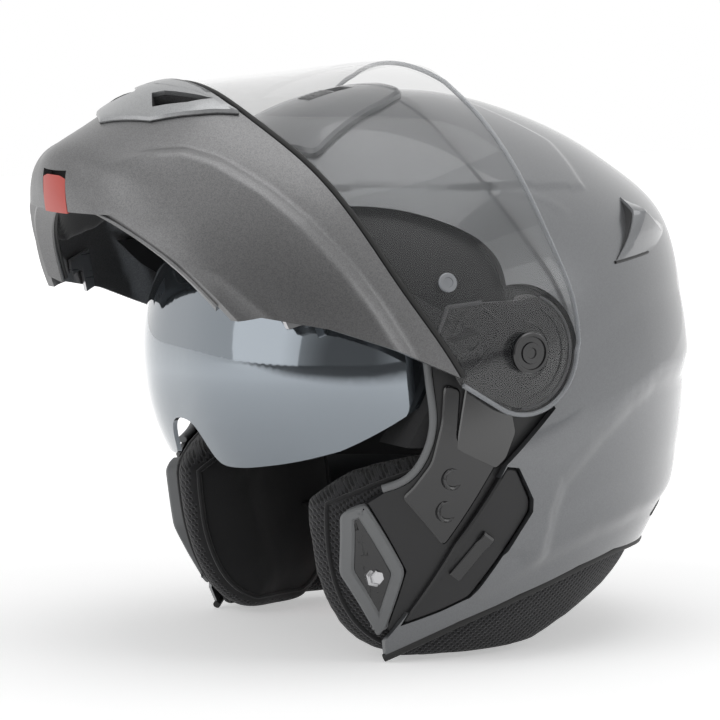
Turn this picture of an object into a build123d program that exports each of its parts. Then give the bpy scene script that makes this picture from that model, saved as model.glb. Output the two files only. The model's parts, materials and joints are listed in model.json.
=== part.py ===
"""Modular motorcycle helmet, standing on its cheek pads with the chin bar raised.

The helmet faces -Y, the wearer's left side is +X, and +Z is up. The chin bar and the
visor turn about one axis along X, and every form is measured from that axis.
"""

import os
from math import cos, hypot, radians, sin

from build123d import *

# The outer shell, measured from the visor pivot in millimetres.
pivot_height = 147.0
crown_height = 116.0
skirt_depth = 150.0
brow_reach = 121.0
nape_reach = 153.0
shell_half_width = 126.0
shell_wall = 4.0

# The moving front, measured in its closed position.
chin_lead = 34.0
mask_step = 5.0
mask_rise = 68.0
chin_depth = 146.0
chin_wall = 3.5
visor_wall = 2.2
chin_travel = 70.0
visor_inset = 0.3

chin_reach = brow_reach + chin_lead
mask_half_width = shell_half_width + mask_step
mask_tail = chin_reach + mask_step * 2

# Clearances and cutting sizes.
seat_gap = 0.3
skin_gap = 0.4
running_gap = 0.05
overrun = 2.0
half_span = mask_half_width + overrun * 10

# The pivot sits behind the middle of the raised helmet's length.
raised_reach_share = 1.161
pivot_setback = (chin_reach * raised_reach_share - nape_reach) / 2

# Form tables. Each row: height, front, rear and half width, as shares of the sizes above.
shell_rows_share = (
    (-1.000, 0.843, 0.601, 0.746),
    (-0.833, 0.893, 0.732, 0.849),
    (-0.667, 0.926, 0.850, 0.929),
    (-0.500, 0.946, 0.938, 0.976),
    (-0.333, 0.967, 0.984, 0.996),
    (-0.133, 0.992, 1.000, 1.000),
    (0.086, 1.000, 0.993, 0.988),
    (0.302, 0.959, 0.974, 0.937),
    (0.474, 0.888, 0.931, 0.849),
    (0.647, 0.781, 0.791, 0.710),
    (0.793, 0.636, 0.614, 0.540),
    (0.897, 0.471, 0.431, 0.373),
    (0.957, 0.306, 0.281, 0.238),
    (0.990, 0.140, 0.131, 0.111),
)
# Rows of the mask: height, front and half width.
mask_rows_share = (
    (-0.997, 0.781, 0.382),
    (-0.980, 0.850, 0.460),
    (-0.950, 0.912, 0.560),
    (-0.900, 0.949, 0.690),
    (-0.822, 0.961, 0.802),
    (-0.720, 0.972, 0.875),
    (-0.616, 0.987, 0.924),
    (-0.514, 0.995, 0.954),
    (-0.411, 0.979, 0.977),
    (-0.274, 0.946, 0.992),
    (-0.137, 0.910, 1.000),
    (0.000, 0.874, 1.000),
    (0.294, 0.839, 0.981),
    (0.588, 0.797, 0.947),
    (0.838, 0.745, 0.893),
    (1.000, 0.700, 0.840),
)

pivot = (0, pivot_setback, pivot_height)
swing = radians(chin_travel)
side_plane = Plane(origin=pivot, x_dir=(0, 1, 0), z_dir=(1, 0, 0))
top_plane = Plane(origin=pivot, x_dir=(1, 0, 0), z_dir=(0, 0, 1))
mask_top = Plane(origin=pivot, x_dir=(1, 0, 0), z_dir=(0, sin(swing), cos(swing)))
mask_side = Plane(origin=pivot, x_dir=(0, cos(swing), -sin(swing)), z_dir=(1, 0, 0))
mask_front = Plane(origin=pivot, x_dir=(1, 0, 0), z_dir=(0, -cos(swing), sin(swing)))


def egg(plane, front, rear, half_width):
    """A closed outline of four quarter ellipses on a level plane."""
    with BuildSketch(plane) as outline:
        with BuildLine():
            for start, reach in ((0, rear), (90, rear), (180, front), (270, front)):
                EllipticalCenterArc((0, 0), half_width, reach, start, arc_size=90)
        make_face()
    return outline.sketch


def shell_form(inset):
    """The helmet's outer form, drawn in by an inset from its surface."""
    foot = skirt_depth + overrun * (inset > 0)
    levels = []
    for height, front, rear, width in shell_rows_share:
        rise = height * (crown_height - inset if height > 0 else foot)
        plane = top_plane.offset(rise)
        reach = (front * (brow_reach - inset), rear * (nape_reach - inset))
        levels.append(egg(plane, *reach, width * (shell_half_width - inset)))
    with BuildPart() as form:
        loft(levels)
    return form.part


def mask_form(inset):
    """The moving front's outer form in its raised place, drawn in by an inset."""
    levels = []
    for height, front, width in mask_rows_share:
        rise = height * (mask_rise if height > 0 else chin_depth - inset)
        plane = mask_top.offset(rise)
        reach = (front * (chin_reach - inset), mask_tail - inset)
        levels.append(egg(plane, *reach, width * (mask_half_width - inset)))
    with BuildPart() as form:
        loft(levels)
    return form.part


def shell_points(shares):
    """Side-view points of the shell from shares of its reaches and heights."""
    return [
        (
            u * (brow_reach if u < 0 else nape_reach),
            v * (crown_height if v > 0 else skirt_depth),
        )
        for u, v in shares
    ]


def mask_points(shares):
    """Side-view points of the closed mask from shares of its reach and heights."""
    return [(u * chin_reach, v * (mask_rise if v > 0 else chin_depth)) for u, v in shares]


def region(points, curve=()):
    """A filled closed outline: a smooth curve, if any, then straight points."""
    with BuildSketch() as shape:
        with BuildLine():
            if curve:
                Spline(*curve)
                Polyline(curve[-1], *points, curve[0])
            else:
                Polyline(*points, close=True)
        make_face()
    return shape.sketch


def wall(plane, outer, inner, points, curve=(), both=False, growth=0):
    """The wall between two forms, kept inside an outline that is swept across."""
    with BuildPart() as piece:
        add(outer)
        add(inner, mode=Mode.SUBTRACT)
        with BuildSketch(plane):
            add(region(points, curve))
            if growth:
                offset(amount=growth, kind=Kind.INTERSECTION)
        extrude(amount=half_span, both=both, mode=Mode.INTERSECT)
    return piece.part


def band(first, second):
    """The face between two smooth curves."""
    with BuildSketch() as shape:
        with BuildLine():
            Spline(*first)
            Line(first[-1], second[-1])
            Spline(*reversed(second))
            Line(second[0], first[0])
        make_face()
    return shape.sketch


def toward(points, centre, distance):
    """The same points, each moved a distance towards a centre."""
    moved = []
    for y, z in points:
        reach = hypot(centre[0] - y, centre[1] - z)
        share = distance / reach
        moved.append((y + (centre[0] - y) * share, z + (centre[1] - z) * share))
    return moved


def raised(points, distance):
    """The same points, each moved up by a distance."""
    return [(y, z + distance) for y, z in points]


# Forms of the shell's layers, from the outside in.
frame_depth = shell_wall + skin_gap
frame_wall = 3.0
liner_depth = frame_depth + frame_wall + skin_gap
liner_wall = 22.4
crown_wall = 7.0
shell_outer = shell_form(0)
shell_inner = shell_form(shell_wall)
frame_outer = shell_form(frame_depth)
frame_inner = shell_form(frame_depth + frame_wall)
liner_outer = shell_form(liner_depth)
liner_inner = shell_form(liner_depth + liner_wall)
crown_outer = shell_form(liner_depth + liner_wall + skin_gap)
crown_inner = shell_form(liner_depth + liner_wall + skin_gap + crown_wall)

# Forms of the mask's layers.
mask_outer = mask_form(0)
mask_inner = mask_form(chin_wall)

# Outlines of the shell, as shares of its reaches and heights.
shell_edge_curve_share = (
    (-1.116, 0.560),
    (-0.661, 0.565),
    (-0.512, 0.573),
    (-0.380, 0.560),
    (-0.227, 0.509),
    (-0.114, 0.440),
    (-0.060, 0.359),
    (-0.050, 0.259),
)
shell_edge_share = (
    (0.013, 0.000),
    (0.114, -0.183),
    (-0.070, -0.347),
    (-0.374, -0.812),
    (-0.430, -0.913),
)
rim_share = (
    (-0.413, -0.960),
    (-0.176, -0.851),
    (0.048, -0.775),
    (0.274, -0.705),
    (0.442, -0.673),
    (0.739, -0.680),
    (1.144, -0.693),
)
shell_far_share = ((1.144, 1.121), (-1.116, 1.121))
eyeport_curve_share = (
    (-1.116, 0.353),
    (-0.868, 0.362),
    (-0.628, 0.328),
    (-0.463, 0.224),
    (-0.364, 0.052),
    (-0.339, -0.100),
    (-0.326, -0.207),
    (-0.361, -0.333),
    (-0.421, -0.400),
    (-0.496, -0.430),
)
eyeport_centre_share = (-0.785, -0.080)
frame_back_share = (
    (-0.545, -0.463),
    (-0.397, -0.680),
    (-0.421, -0.873),
    (-0.380, -0.887),
    (-0.248, -0.833),
    (-0.116, -0.773),
    (0.078, -0.533),
    (0.105, -0.413),
    (0.157, -0.320),
    (0.248, -0.200),
    (0.261, 0.000),
    (0.235, 0.190),
    (0.131, 0.397),
    (0.026, 0.534),
    (-0.248, 0.629),
    (-0.579, 0.655),
    (-1.116, 0.655),
)
side_plate_share = (
    (-0.306, -0.093),
    (-0.314, -0.210),
    (-0.346, -0.335),
    (-0.408, -0.414),
    (-0.440, -0.442),
    (-0.281, -0.600),
    (-0.190, -0.473),
    (-0.091, -0.333),
    (-0.256, -0.267),
    (-0.244, -0.107),
)
lock_plate_share = (
    (-0.550, -0.470),
    (-0.579, -0.477),
    (-0.624, -0.500),
    (-0.607, -0.690),
    (-0.446, -0.900),
    (-0.426, -0.867),
    (-0.403, -0.680),
)
side_panel_share = (
    (-0.069, -0.356),
    (-0.023, -0.361),
    (0.035, -0.462),
    (0.036, -0.501),
    (-0.160, -0.771),
    (-0.264, -0.814),
    (-0.388, -0.857),
    (-0.372, -0.812),
    (-0.254, -0.594),
)

# Outlines of the closed mask, as shares of its reach and heights.
chin_top_curve_share = (
    (-1.065, -0.452),
    (-0.977, -0.442),
    (-0.900, -0.436),
    (-0.748, -0.396),
    (-0.568, -0.366),
    (-0.332, -0.336),
    (-0.140, -0.288),
    (-0.023, -0.259),
)
chin_low_share = (
    (-0.168, -0.420),
    (-0.303, -0.593),
    (-0.399, -0.760),
    (-0.410, -0.825),
    (-0.597, -0.878),
    (-0.766, -0.947),
    (-0.781, -1.003),
    (-1.065, -1.027),
)
visor_top_curve_share = (
    (-1.065, 0.912),
    (-0.755, 0.853),
    (-0.723, 0.713),
    (-0.658, 0.654),
    (-0.552, 0.610),
    (-0.400, 0.551),
    (-0.232, 0.515),
    (-0.074, 0.500),
    (0.058, 0.426),
)

shell_edge_curve = shell_points(shell_edge_curve_share)
rim = shell_points(rim_share)
shell_edge = shell_points(shell_edge_share) + rim + shell_points(shell_far_share)
eyeport_curve = shell_points(eyeport_curve_share)
chin_top_curve = mask_points(chin_top_curve_share)
chin_low = mask_points(chin_low_share)

# Sizes round the pivot.
ear_radius = 29.0
ear_gap = 2.0
hinge_radius = 27.0
hinge_pin_radius = 4.0
cap_radius = 9.7
cap_shank_radius = 7.9
cap_height = 1.2

# Outer shell, with its ear cut-outs, panel windows and vent holes.
panel_outline = shell_points(side_panel_share)
top_vent_hole_share = (0.190, -0.372)
rear_vent_hole_share = (0.588, 0.440)
vent_slot_length = 14.0
vent_slot_width = 5.0
shell_blank = wall(side_plane, shell_outer, shell_inner, shell_edge, shell_edge_curve, True)

with BuildPart() as outer_shell:
    add(shell_blank)
    with BuildSketch(side_plane):
        Circle(ear_radius + ear_gap)
    extrude(amount=half_span, both=True, mode=Mode.SUBTRACT)
    with BuildSketch(side_plane):
        add(region(panel_outline))
        offset(amount=seat_gap, kind=Kind.INTERSECTION)
    extrude(amount=half_span, both=True, mode=Mode.SUBTRACT)
    with BuildSketch(top_plane):
        hole_x, hole_y = top_vent_hole_share
        with Locations((hole_x * shell_half_width, hole_y * brow_reach)):
            SlotOverall(vent_slot_length, vent_slot_width, rotation=90)
        with Locations((-hole_x * shell_half_width, hole_y * brow_reach)):
            SlotOverall(vent_slot_length, vent_slot_width, rotation=90)
    extrude(amount=crown_height, mode=Mode.SUBTRACT)
    with BuildSketch(side_plane):
        hole_y, hole_z = rear_vent_hole_share
        with Locations((hole_y * nape_reach, hole_z * crown_height)):
            SlotOverall(vent_slot_length, vent_slot_width, rotation=70)
    extrude(amount=half_span, both=True, mode=Mode.SUBTRACT)

# Face frame round the eye opening and under the ears.
socket_radius = 5.2
socket_bore_radius = 3.2
socket_length = 7.0
socket_floor = 1.5
sockets_share = ((-0.274, -0.387, 0.938), (-0.288, -0.488, 0.919))
sockets = [
    (y * brow_reach, z * skirt_depth, x * shell_half_width) for y, z, x in sockets_share
]
frame_blank = wall(
    side_plane, frame_outer, frame_inner, shell_points(frame_back_share), eyeport_curve, True
)

frame_split_share = -0.325
frame_split = frame_split_share * skirt_depth

with BuildPart() as face_frame:
    add(frame_blank)
    with BuildSketch(side_plane):
        Circle(hinge_pin_radius + running_gap)
    extrude(amount=half_span, both=True, mode=Mode.SUBTRACT)
    with BuildSketch(top_plane.offset(frame_split)):
        Rectangle(2 * half_span, 4 * nape_reach)
    extrude(amount=-skirt_depth, mode=Mode.SUBTRACT)

with BuildPart() as frame_cheek_left:
    add(frame_blank)
    with BuildSketch(side_plane):
        with Locations(*[(y, z) for y, z, x in sockets]):
            Circle(socket_radius + running_gap)
    extrude(amount=half_span, mode=Mode.SUBTRACT)
    with BuildSketch(top_plane.offset(frame_split - seat_gap)):
        Rectangle(2 * half_span, 4 * nape_reach)
    extrude(amount=2 * crown_height, mode=Mode.SUBTRACT)
    with BuildSketch(side_plane):
        Rectangle(4 * nape_reach, 4 * skirt_depth)
    extrude(amount=-half_span, mode=Mode.SUBTRACT)

with BuildPart() as frame_cheek_right:
    mirror(frame_cheek_left.part, about=Plane.YZ)

# Rubber bead round the eye opening.
bead_width = 3.6
bead_proud = 0.8
bead_depth = 3.4
eyeport_centre = (eyeport_centre_share[0] * brow_reach, eyeport_centre_share[1] * skirt_depth)
bead_near = toward(eyeport_curve, eyeport_centre, seat_gap)
bead_far = toward(eyeport_curve, eyeport_centre, seat_gap + bead_width)
bead_outer = shell_form(frame_depth - bead_proud)
bead_inner = shell_form(frame_depth + bead_depth)

with BuildPart() as eyeport_gasket:
    add(bead_outer)
    add(bead_inner, mode=Mode.SUBTRACT)
    with BuildSketch(side_plane):
        add(band(bead_near, bead_far))
    extrude(amount=half_span, both=True, mode=Mode.INTERSECT)

# Satin plates below the ears, each with two round sockets.
plate_proud = 2.0
plate_outer = shell_form(frame_depth - plate_proud)
plate_inner = shell_form(shell_wall)
plate_blank = wall(side_plane, plate_outer, plate_inner, shell_points(side_plate_share))

with BuildPart() as side_plate_left:
    add(plate_blank)
    with BuildSketch(side_plane):
        with Locations(*[(y, z) for y, z, x in sockets]):
            Circle(socket_radius + running_gap)
    extrude(amount=half_span, mode=Mode.SUBTRACT)

with BuildPart() as side_plate_right:
    mirror(side_plate_left.part, about=Plane.YZ)

with BuildPart() as plate_sockets_left:
    for y, z, x in sockets:
        with BuildSketch(side_plane.offset(x - socket_length)):
            with Locations((y, z)):
                Circle(socket_radius)
        extrude(amount=socket_length)
        with BuildSketch(side_plane.offset(x - socket_length + socket_floor)):
            with Locations((y, z)):
                Circle(socket_bore_radius)
        extrude(amount=socket_length, mode=Mode.SUBTRACT)

with BuildPart() as plate_sockets_right:
    mirror(plate_sockets_left.part, about=Plane.YZ)

# Bevelled lock plates at the front lower corners, each with a square striker hole.
lock_plate_proud = 1.0
lock_plate_wall = 5.6
striker_share = (-0.496, -0.700)
striker_block = 10.0
striker_turn = 25.0
striker_length = 5.0
striker_radius = 4.0
striker_base_share = 0.719
block_length = 2.4
striker_spot = (striker_share[0] * brow_reach, striker_share[1] * skirt_depth)
lock_outer = shell_form(frame_depth - lock_plate_proud)
lock_inner = shell_form(frame_depth - lock_plate_proud + lock_plate_wall)
lock_blank = wall(side_plane, lock_outer, lock_inner, shell_points(lock_plate_share))

with BuildPart() as lock_plate_left:
    add(lock_blank)
    with BuildSketch(side_plane):
        with Locations(striker_spot):
            block = striker_block + 2 * running_gap
            Rectangle(block, block, rotation=striker_turn)
    extrude(amount=half_span, mode=Mode.SUBTRACT)

with BuildPart() as lock_plate_right:
    mirror(lock_plate_left.part, about=Plane.YZ)

striker_base = striker_base_share * shell_half_width
with BuildPart() as lock_striker_left:
    with BuildSketch(side_plane.offset(striker_base)):
        with Locations(striker_spot):
            Rectangle(striker_block, striker_block, rotation=striker_turn)
    extrude(amount=block_length)
    with BuildSketch(side_plane.offset(striker_base + block_length)):
        with Locations(striker_spot):
            Circle(striker_radius)
    extrude(amount=striker_length)

with BuildPart() as lock_striker_right:
    mirror(lock_striker_left.part, about=Plane.YZ)

# Side panels let into the shell, the left one with the sun visor's slider.
panel_inset = 0.6
panel_wall = 3.2
slider_share = (-0.182, -0.633, 0.925)
slider_run = Vector(0.299, 0.552, 0.780)
slider_normal = Vector(0.954, -0.199, -0.225)
slider_length = 26.0
slider_width = 6.5
slider_depth = 2.4
slider_proud = 0.8
thumb_height = 2.0
thumb_length = 5.0
slider_travel = 10.0
panel_outer = shell_form(panel_inset)
panel_inner = shell_form(panel_inset + panel_wall)
slider_origin = (
    slider_share[2] * shell_half_width,
    pivot_setback + slider_share[0] * brow_reach,
    pivot_height + slider_share[1] * skirt_depth,
)
slider_plane = Plane(origin=slider_origin, x_dir=slider_run, z_dir=slider_normal)
panel_blank = wall(side_plane, panel_outer, panel_inner, panel_outline)

with BuildPart() as side_panel_left:
    add(panel_blank)
    with BuildSketch(slider_plane.offset(-2 * panel_wall)):
        with Locations((slider_travel / 2, 0)):
            Rectangle(slider_length + slider_travel + 2 * seat_gap, slider_width + 2 * seat_gap)
    extrude(amount=4 * panel_wall, mode=Mode.SUBTRACT)

with BuildPart() as side_panel_right:
    mirror(panel_blank, about=Plane.YZ)

with BuildPart() as sun_visor_slider:
    with BuildSketch(slider_plane.offset(-slider_depth)):
        Rectangle(slider_length, slider_width)
    extrude(amount=slider_depth + slider_proud)
    with BuildSketch(slider_plane.offset(slider_proud)):
        with Locations(((slider_length - thumb_length) / 2, 0)):
            Rectangle(thumb_length, slider_width)
    extrude(amount=thumb_height - slider_proud)

# Sun visor, turned about its own axis inside the shell.
sun_axis_share = (-0.124, -0.067)
sun_radius = 101.2
sun_half_width = 101.5
sun_wall = 2.2
sun_low = 32.0
sun_high = 36.0
sun_travel = 60.0
sun_slot_play = 2.0
sun_boss_radius = 9.0
sun_pin_radius = 3.0
sun_profile_share = (
    (0.000, 1.000),
    (0.296, 0.977),
    (0.493, 0.914),
    (0.690, 0.800),
    (0.867, 0.613),
    (0.966, 0.395),
    (0.995, 0.200),
    (1.000, 0.060),
)
sun_edge_share = (
    (0.000, -0.250),
    (0.090, -0.262),
    (0.160, -0.320),
    (0.220, -0.380),
    (0.290, -0.388),
    (0.500, -0.372),
    (0.700, -0.340),
    (0.850, -0.300),
    (1.100, -0.220),
)
sun_spot = (sun_axis_share[0] * brow_reach, sun_axis_share[1] * skirt_depth)
sun_centre = Vector(0, pivot_setback + sun_spot[0], pivot_height + sun_spot[1])
sun_turn = Axis(sun_centre, (-1, 0, 0))


def sun_rim(growth):
    """The sun visor's cross outline, grown by a distance."""
    half = [
        (x * (sun_half_width + growth), r * (sun_radius + growth)) for x, r in sun_profile_share
    ]
    return [(-x, r) for x, r in reversed(half[1:])] + half


def sun_sector(outer, inner, low, high):
    """A sector of a turned shell between two profiles, from a low to a high angle."""
    tilt = radians(-low)
    plane = Plane(origin=sun_centre, x_dir=(1, 0, 0), z_dir=(0, -sin(tilt), -cos(tilt)))
    with BuildPart() as sector:
        with BuildSketch(plane):
            add(band(sun_rim(outer), sun_rim(inner)))
        revolve(axis=sun_turn, revolution_arc=low + high)
    return sector.part


sun_blank = sun_sector(0, -sun_wall, sun_low, sun_high)
sun_slot_end = sun_high + sun_travel + sun_slot_play
sun_slot = sun_sector(sun_slot_play, -sun_wall - sun_slot_play, sun_low, sun_slot_end)
sun_edge = [(x * sun_half_width, z * skirt_depth) for x, z in sun_edge_share]
sun_edge_far = sun_edge[-1][0]
front_plane = Plane(origin=pivot, x_dir=(1, 0, 0), z_dir=(0, -1, 0))

with BuildPart() as sun_visor:
    add(sun_blank)
    with BuildSketch(front_plane.offset(-sun_spot[0])):
        with BuildLine():
            edge = [(-x, z) for x, z in reversed(sun_edge[1:])] + sun_edge
            Spline(*edge)
            Polyline(
                edge[-1], (sun_edge_far, -skirt_depth), (-sun_edge_far, -skirt_depth), edge[0]
            )
        make_face()
    extrude(amount=chin_reach, mode=Mode.SUBTRACT)
    with BuildSketch(side_plane.offset(sun_half_width - sun_wall)):
        with Locations(sun_spot):
            Circle(sun_boss_radius)
    extrude(amount=sun_wall)
    with BuildSketch(side_plane.offset(-sun_half_width)):
        with Locations(sun_spot):
            Circle(sun_boss_radius)
    extrude(amount=sun_wall)
    with BuildSketch(side_plane):
        with Locations(sun_spot):
            Circle(sun_pin_radius + running_gap)
    extrude(amount=half_span, both=True, mode=Mode.SUBTRACT)

sun_pin_base = 98.5
sun_pin_step = 103.0
sun_pin_end = 115.6
sun_spacer_radius = 6.5

with BuildPart() as sun_visor_pins:
    for side in (1, -1):
        with BuildSketch(side_plane.offset(side * sun_pin_base)):
            with Locations(sun_spot):
                Circle(sun_pin_radius)
        extrude(amount=side * (sun_pin_step - sun_pin_base))
        with BuildSketch(side_plane.offset(side * sun_pin_step)):
            with Locations(sun_spot):
                Circle(sun_spacer_radius)
        extrude(amount=side * (sun_pin_end - sun_pin_step))

# Rim trim under the shell's lower edge.
trim_band = 2.6
trim_outer = shell_form(seat_gap)
trim_top = raised(rim, -skin_gap)
trim_low = raised(rim, -skin_gap - trim_band)
trim_blank = wall(
    side_plane, trim_outer, shell_inner, trim_top + list(reversed(trim_low)), both=True
)

with BuildPart() as rim_trim:
    add(trim_blank)

# Top vent cover with its slider, and the hoods of the rear vents.
top_vent_proud = 3.4
top_vent_share = (
    (0.000, -0.645),
    (0.238, -0.612),
    (0.381, -0.545),
    (0.306, -0.306),
    (0.260, -0.165),
    (0.175, -0.025),
)
top_slider_share = -0.314
top_slider_width = 12.0
top_slider_length = 15.0
top_slider_rise = (0.965, 0.261)
top_slider_travel = 8.0
rear_vent_proud = 5.0
rear_vent_roof = 1.5
rear_vent_mouth = 5.0
rear_vent_share = ((0.556, 0.560), (0.412, 0.319), (0.627, 0.345), (0.771, 0.422))
cover_outer = shell_form(-top_vent_proud)
cover_inner = shell_form(-skin_gap)
hood_outer = shell_form(-rear_vent_proud)
hood_inner = shell_form(rear_vent_roof - rear_vent_proud)
cover_half = [(x * shell_half_width, y * brow_reach) for x, y in top_vent_share]
cover_outline = cover_half + [(-x, y) for x, y in reversed(cover_half[1:])]
slider_middle = top_slider_share * brow_reach
slider_slot = top_slider_length + top_slider_travel

with BuildPart() as top_vent_cover:
    add(cover_outer)
    add(cover_inner, mode=Mode.SUBTRACT)
    with BuildSketch(top_plane):
        add(region(cover_outline))
        with Locations((0, slider_middle + top_slider_travel / 2)):
            Rectangle(
                top_slider_width + 2 * seat_gap, slider_slot + 2 * seat_gap, mode=Mode.SUBTRACT
            )
    extrude(amount=half_span, mode=Mode.INTERSECT)

slider_floor = shell_form(-2 * seat_gap)
with BuildPart() as top_vent_slider:
    add(cover_outer)
    add(slider_floor, mode=Mode.SUBTRACT)
    with BuildSketch(top_plane):
        with Locations((0, slider_middle)):
            Rectangle(top_slider_width, top_slider_length)
    extrude(amount=half_span, mode=Mode.INTERSECT)

rear_vent = shell_points(rear_vent_share)
rear_mouth = [(y - rear_vent_mouth, z) for y, z in rear_vent]
hood_blank = wall(side_plane, hood_outer, cover_inner, rear_vent)
hood_hollow = wall(side_plane, hood_inner, shell_outer, rear_mouth)

with BuildPart() as rear_vent_left:
    add(hood_blank)
    add(hood_hollow, mode=Mode.SUBTRACT)

with BuildPart() as rear_vent_right:
    mirror(rear_vent_left.part, about=Plane.YZ)

# Chin bar: a curved wall with two vent slots and a pocket for the latch.
latch_half_width = 11.5
latch_front_share = -0.884
latch_rear_share = -0.774
latch_wall = 3.2
latch_travel = 4.0
vent_frame_share = (
    (0.000, -0.753),
    (0.210, -0.671),
    (0.327, -0.548),
    (0.398, -0.448),
    (0.382, -0.441),
    (0.290, -0.452),
    (0.189, -0.470),
    (0.098, -0.490),
    (0.000, -0.495),
)
vent_slot_share = (
    (0.069, -0.575),
    (0.168, -0.630),
    (0.260, -0.548),
    (0.298, -0.473),
    (0.206, -0.514),
    (0.107, -0.548),
)
vent_frame_proud = 2.5
shutter_travel = 4.0
shutter_wall = 1.6
shutter_rim = 1.5
chin_padding = 8.2
frame_half = [(x * mask_half_width, z * chin_depth) for x, z in vent_frame_share]
frame_outline = frame_half + [(-x, z) for x, z in reversed(frame_half[1:-1])]
slot_right = [(x * mask_half_width, z * chin_depth) for x, z in vent_slot_share]
slot_left = [(-x, z) for x, z in slot_right]
latch_front = latch_front_share * chin_reach
latch_rear = latch_rear_share * chin_reach
latch_length = latch_rear - latch_front
latch_middle = (latch_front + latch_rear) / 2
chin_blank = wall(mask_side, mask_outer, mask_inner, chin_low, chin_top_curve, True)

with BuildPart() as chin_bar:
    add(chin_blank)
    with BuildSketch(mask_front):
        add(region(slot_right))
        add(region(slot_left))
    extrude(amount=chin_reach, mode=Mode.SUBTRACT)
    with BuildSketch(mask_top.offset(-chin_depth - overrun)):
        with Locations((0, latch_middle + overrun)):
            Rectangle(2 * (latch_half_width + seat_gap), latch_length + 2 * (seat_gap + overrun))
    extrude(amount=chin_padding + overrun + latch_travel, mode=Mode.SUBTRACT)

vent_outer = mask_form(-vent_frame_proud)
vent_inner = mask_form(-skin_gap)
with BuildPart() as chin_vent_frame:
    add(vent_outer)
    add(vent_inner, mode=Mode.SUBTRACT)
    with BuildSketch(mask_front):
        add(region(frame_outline))
        add(region(slot_right), mode=Mode.SUBTRACT)
        add(region(slot_left), mode=Mode.SUBTRACT)
    extrude(amount=2 * chin_reach, mode=Mode.INTERSECT)

shutter_gap = 0.9
shutter_outer = mask_form(chin_wall + shutter_gap)
shutter_inner = mask_form(chin_wall + shutter_gap + shutter_wall)
shutter_low = slot_right[1][1] - shutter_rim
shutter_high = slot_right[3][1] + shutter_rim
shutter_half = slot_right[3][0] + shutter_rim
with BuildPart() as chin_vent_shutter:
    add(shutter_outer)
    add(shutter_inner, mode=Mode.SUBTRACT)
    with BuildSketch(mask_front):
        with Locations((0, (shutter_low + shutter_high) / 2)):
            Rectangle(2 * shutter_half, shutter_high - shutter_low)
    extrude(amount=2 * chin_reach, mode=Mode.INTERSECT)

# Padding inside the chin bar, with a window behind the vent.
chin_liner_share = (
    (-1.065, -0.520),
    (-0.800, -0.500),
    (-0.560, -0.470),
    (-0.535, -0.620),
    (-0.560, -0.790),
    (-0.660, -0.845),
    (-0.760, -0.890),
    (-1.065, -0.900),
)
padding_outer = mask_form(chin_wall + seat_gap)
padding_inner = mask_form(chin_wall + seat_gap + chin_padding)
padding_blank = wall(
    mask_side, padding_outer, padding_inner, mask_points(chin_liner_share), both=True
)

with BuildPart() as chin_liner:
    add(padding_blank)
    with BuildSketch(mask_front):
        with Locations((0, (shutter_low + shutter_high - shutter_travel) / 2)):
            Rectangle(
                2 * (shutter_half + overrun),
                shutter_high - shutter_low + shutter_travel + 2 * overrun,
            )
    extrude(amount=2 * chin_reach, mode=Mode.SUBTRACT)

with BuildPart() as latch_button:
    add(mask_outer)
    with BuildSketch(mask_top.offset(-chin_depth - overrun)):
        with Locations((0, latch_middle)):
            Rectangle(2 * latch_half_width, latch_length)
    extrude(amount=latch_wall + 2 * overrun, mode=Mode.INTERSECT)

# Hooks inside the chin bar that close over the strikers.
hook_wall = 2.4
hook_share = (
    (-0.335, -0.645),
    (-0.335, -0.688),
    (-0.416, -0.688),
    (-0.418, -0.740),
    (-0.468, -0.740),
    (-0.468, -0.645),
)
hook_outer = mask_form(chin_wall + 2 * seat_gap)
hook_inner = mask_form(chin_wall + 2 * seat_gap + hook_wall)
hook_blank = wall(mask_side, hook_outer, hook_inner, mask_points(hook_share))

with BuildPart() as latch_hook_left:
    add(hook_blank)

with BuildPart() as latch_hook_right:
    mirror(hook_blank, about=Plane.YZ)

# Clear visor, its seal along the chin bar, and the lens pins.
visor_gap = 3.5
visor_hole_radius = cap_shank_radius + running_gap
visor_outer = mask_form(visor_inset)
visor_inner = mask_form(visor_inset + visor_wall)
visor_top_curve = mask_points(visor_top_curve_share)
visor_low_curve = raised(chin_top_curve, visor_gap)
seal_low = raised(chin_top_curve, skin_gap)
seal_top = raised(chin_top_curve, visor_gap - seat_gap)
ear_rear = visor_top_curve[-1]

with BuildPart() as clear_visor:
    add(visor_outer)
    add(visor_inner, mode=Mode.SUBTRACT)
    with BuildSketch(mask_side):
        with BuildLine():
            Spline(*visor_top_curve)
            Polyline(ear_rear, (0, 0), visor_low_curve[-1])
            Spline(*reversed(visor_low_curve))
            Line(visor_low_curve[0], visor_top_curve[0])
        make_face()
        Circle(ear_radius)
        Circle(visor_hole_radius, mode=Mode.SUBTRACT)
    extrude(amount=half_span, both=True, mode=Mode.INTERSECT)

with BuildPart() as visor_seal:
    add(visor_outer)
    add(mask_inner, mode=Mode.SUBTRACT)
    with BuildSketch(mask_side):
        add(band(seal_low, seal_top))
    extrude(amount=half_span, both=True, mode=Mode.INTERSECT)

lens_pin_share = (0.948, -0.293, -0.179)
lens_pin_lean = (0.956, -0.293)
lens_pin_radius = 4.5
lens_pin_height = 1.2
lens_x, lens_y, lens_z = lens_pin_share
lens_spot = mask_top.from_local_coords(
    (lens_x * mask_half_width, lens_y * chin_reach, lens_z * chin_depth)
)
lens_normal = (lens_pin_lean[0], lens_pin_lean[1] * cos(swing), -lens_pin_lean[1] * sin(swing))
lens_plane = Plane(origin=lens_spot, x_dir=(0, sin(swing), cos(swing)), z_dir=lens_normal)
with BuildPart() as lens_pins:
    with BuildSketch(lens_plane):
        Circle(lens_pin_radius)
    extrude(amount=lens_pin_height)
    mirror(about=Plane.YZ)

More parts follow.
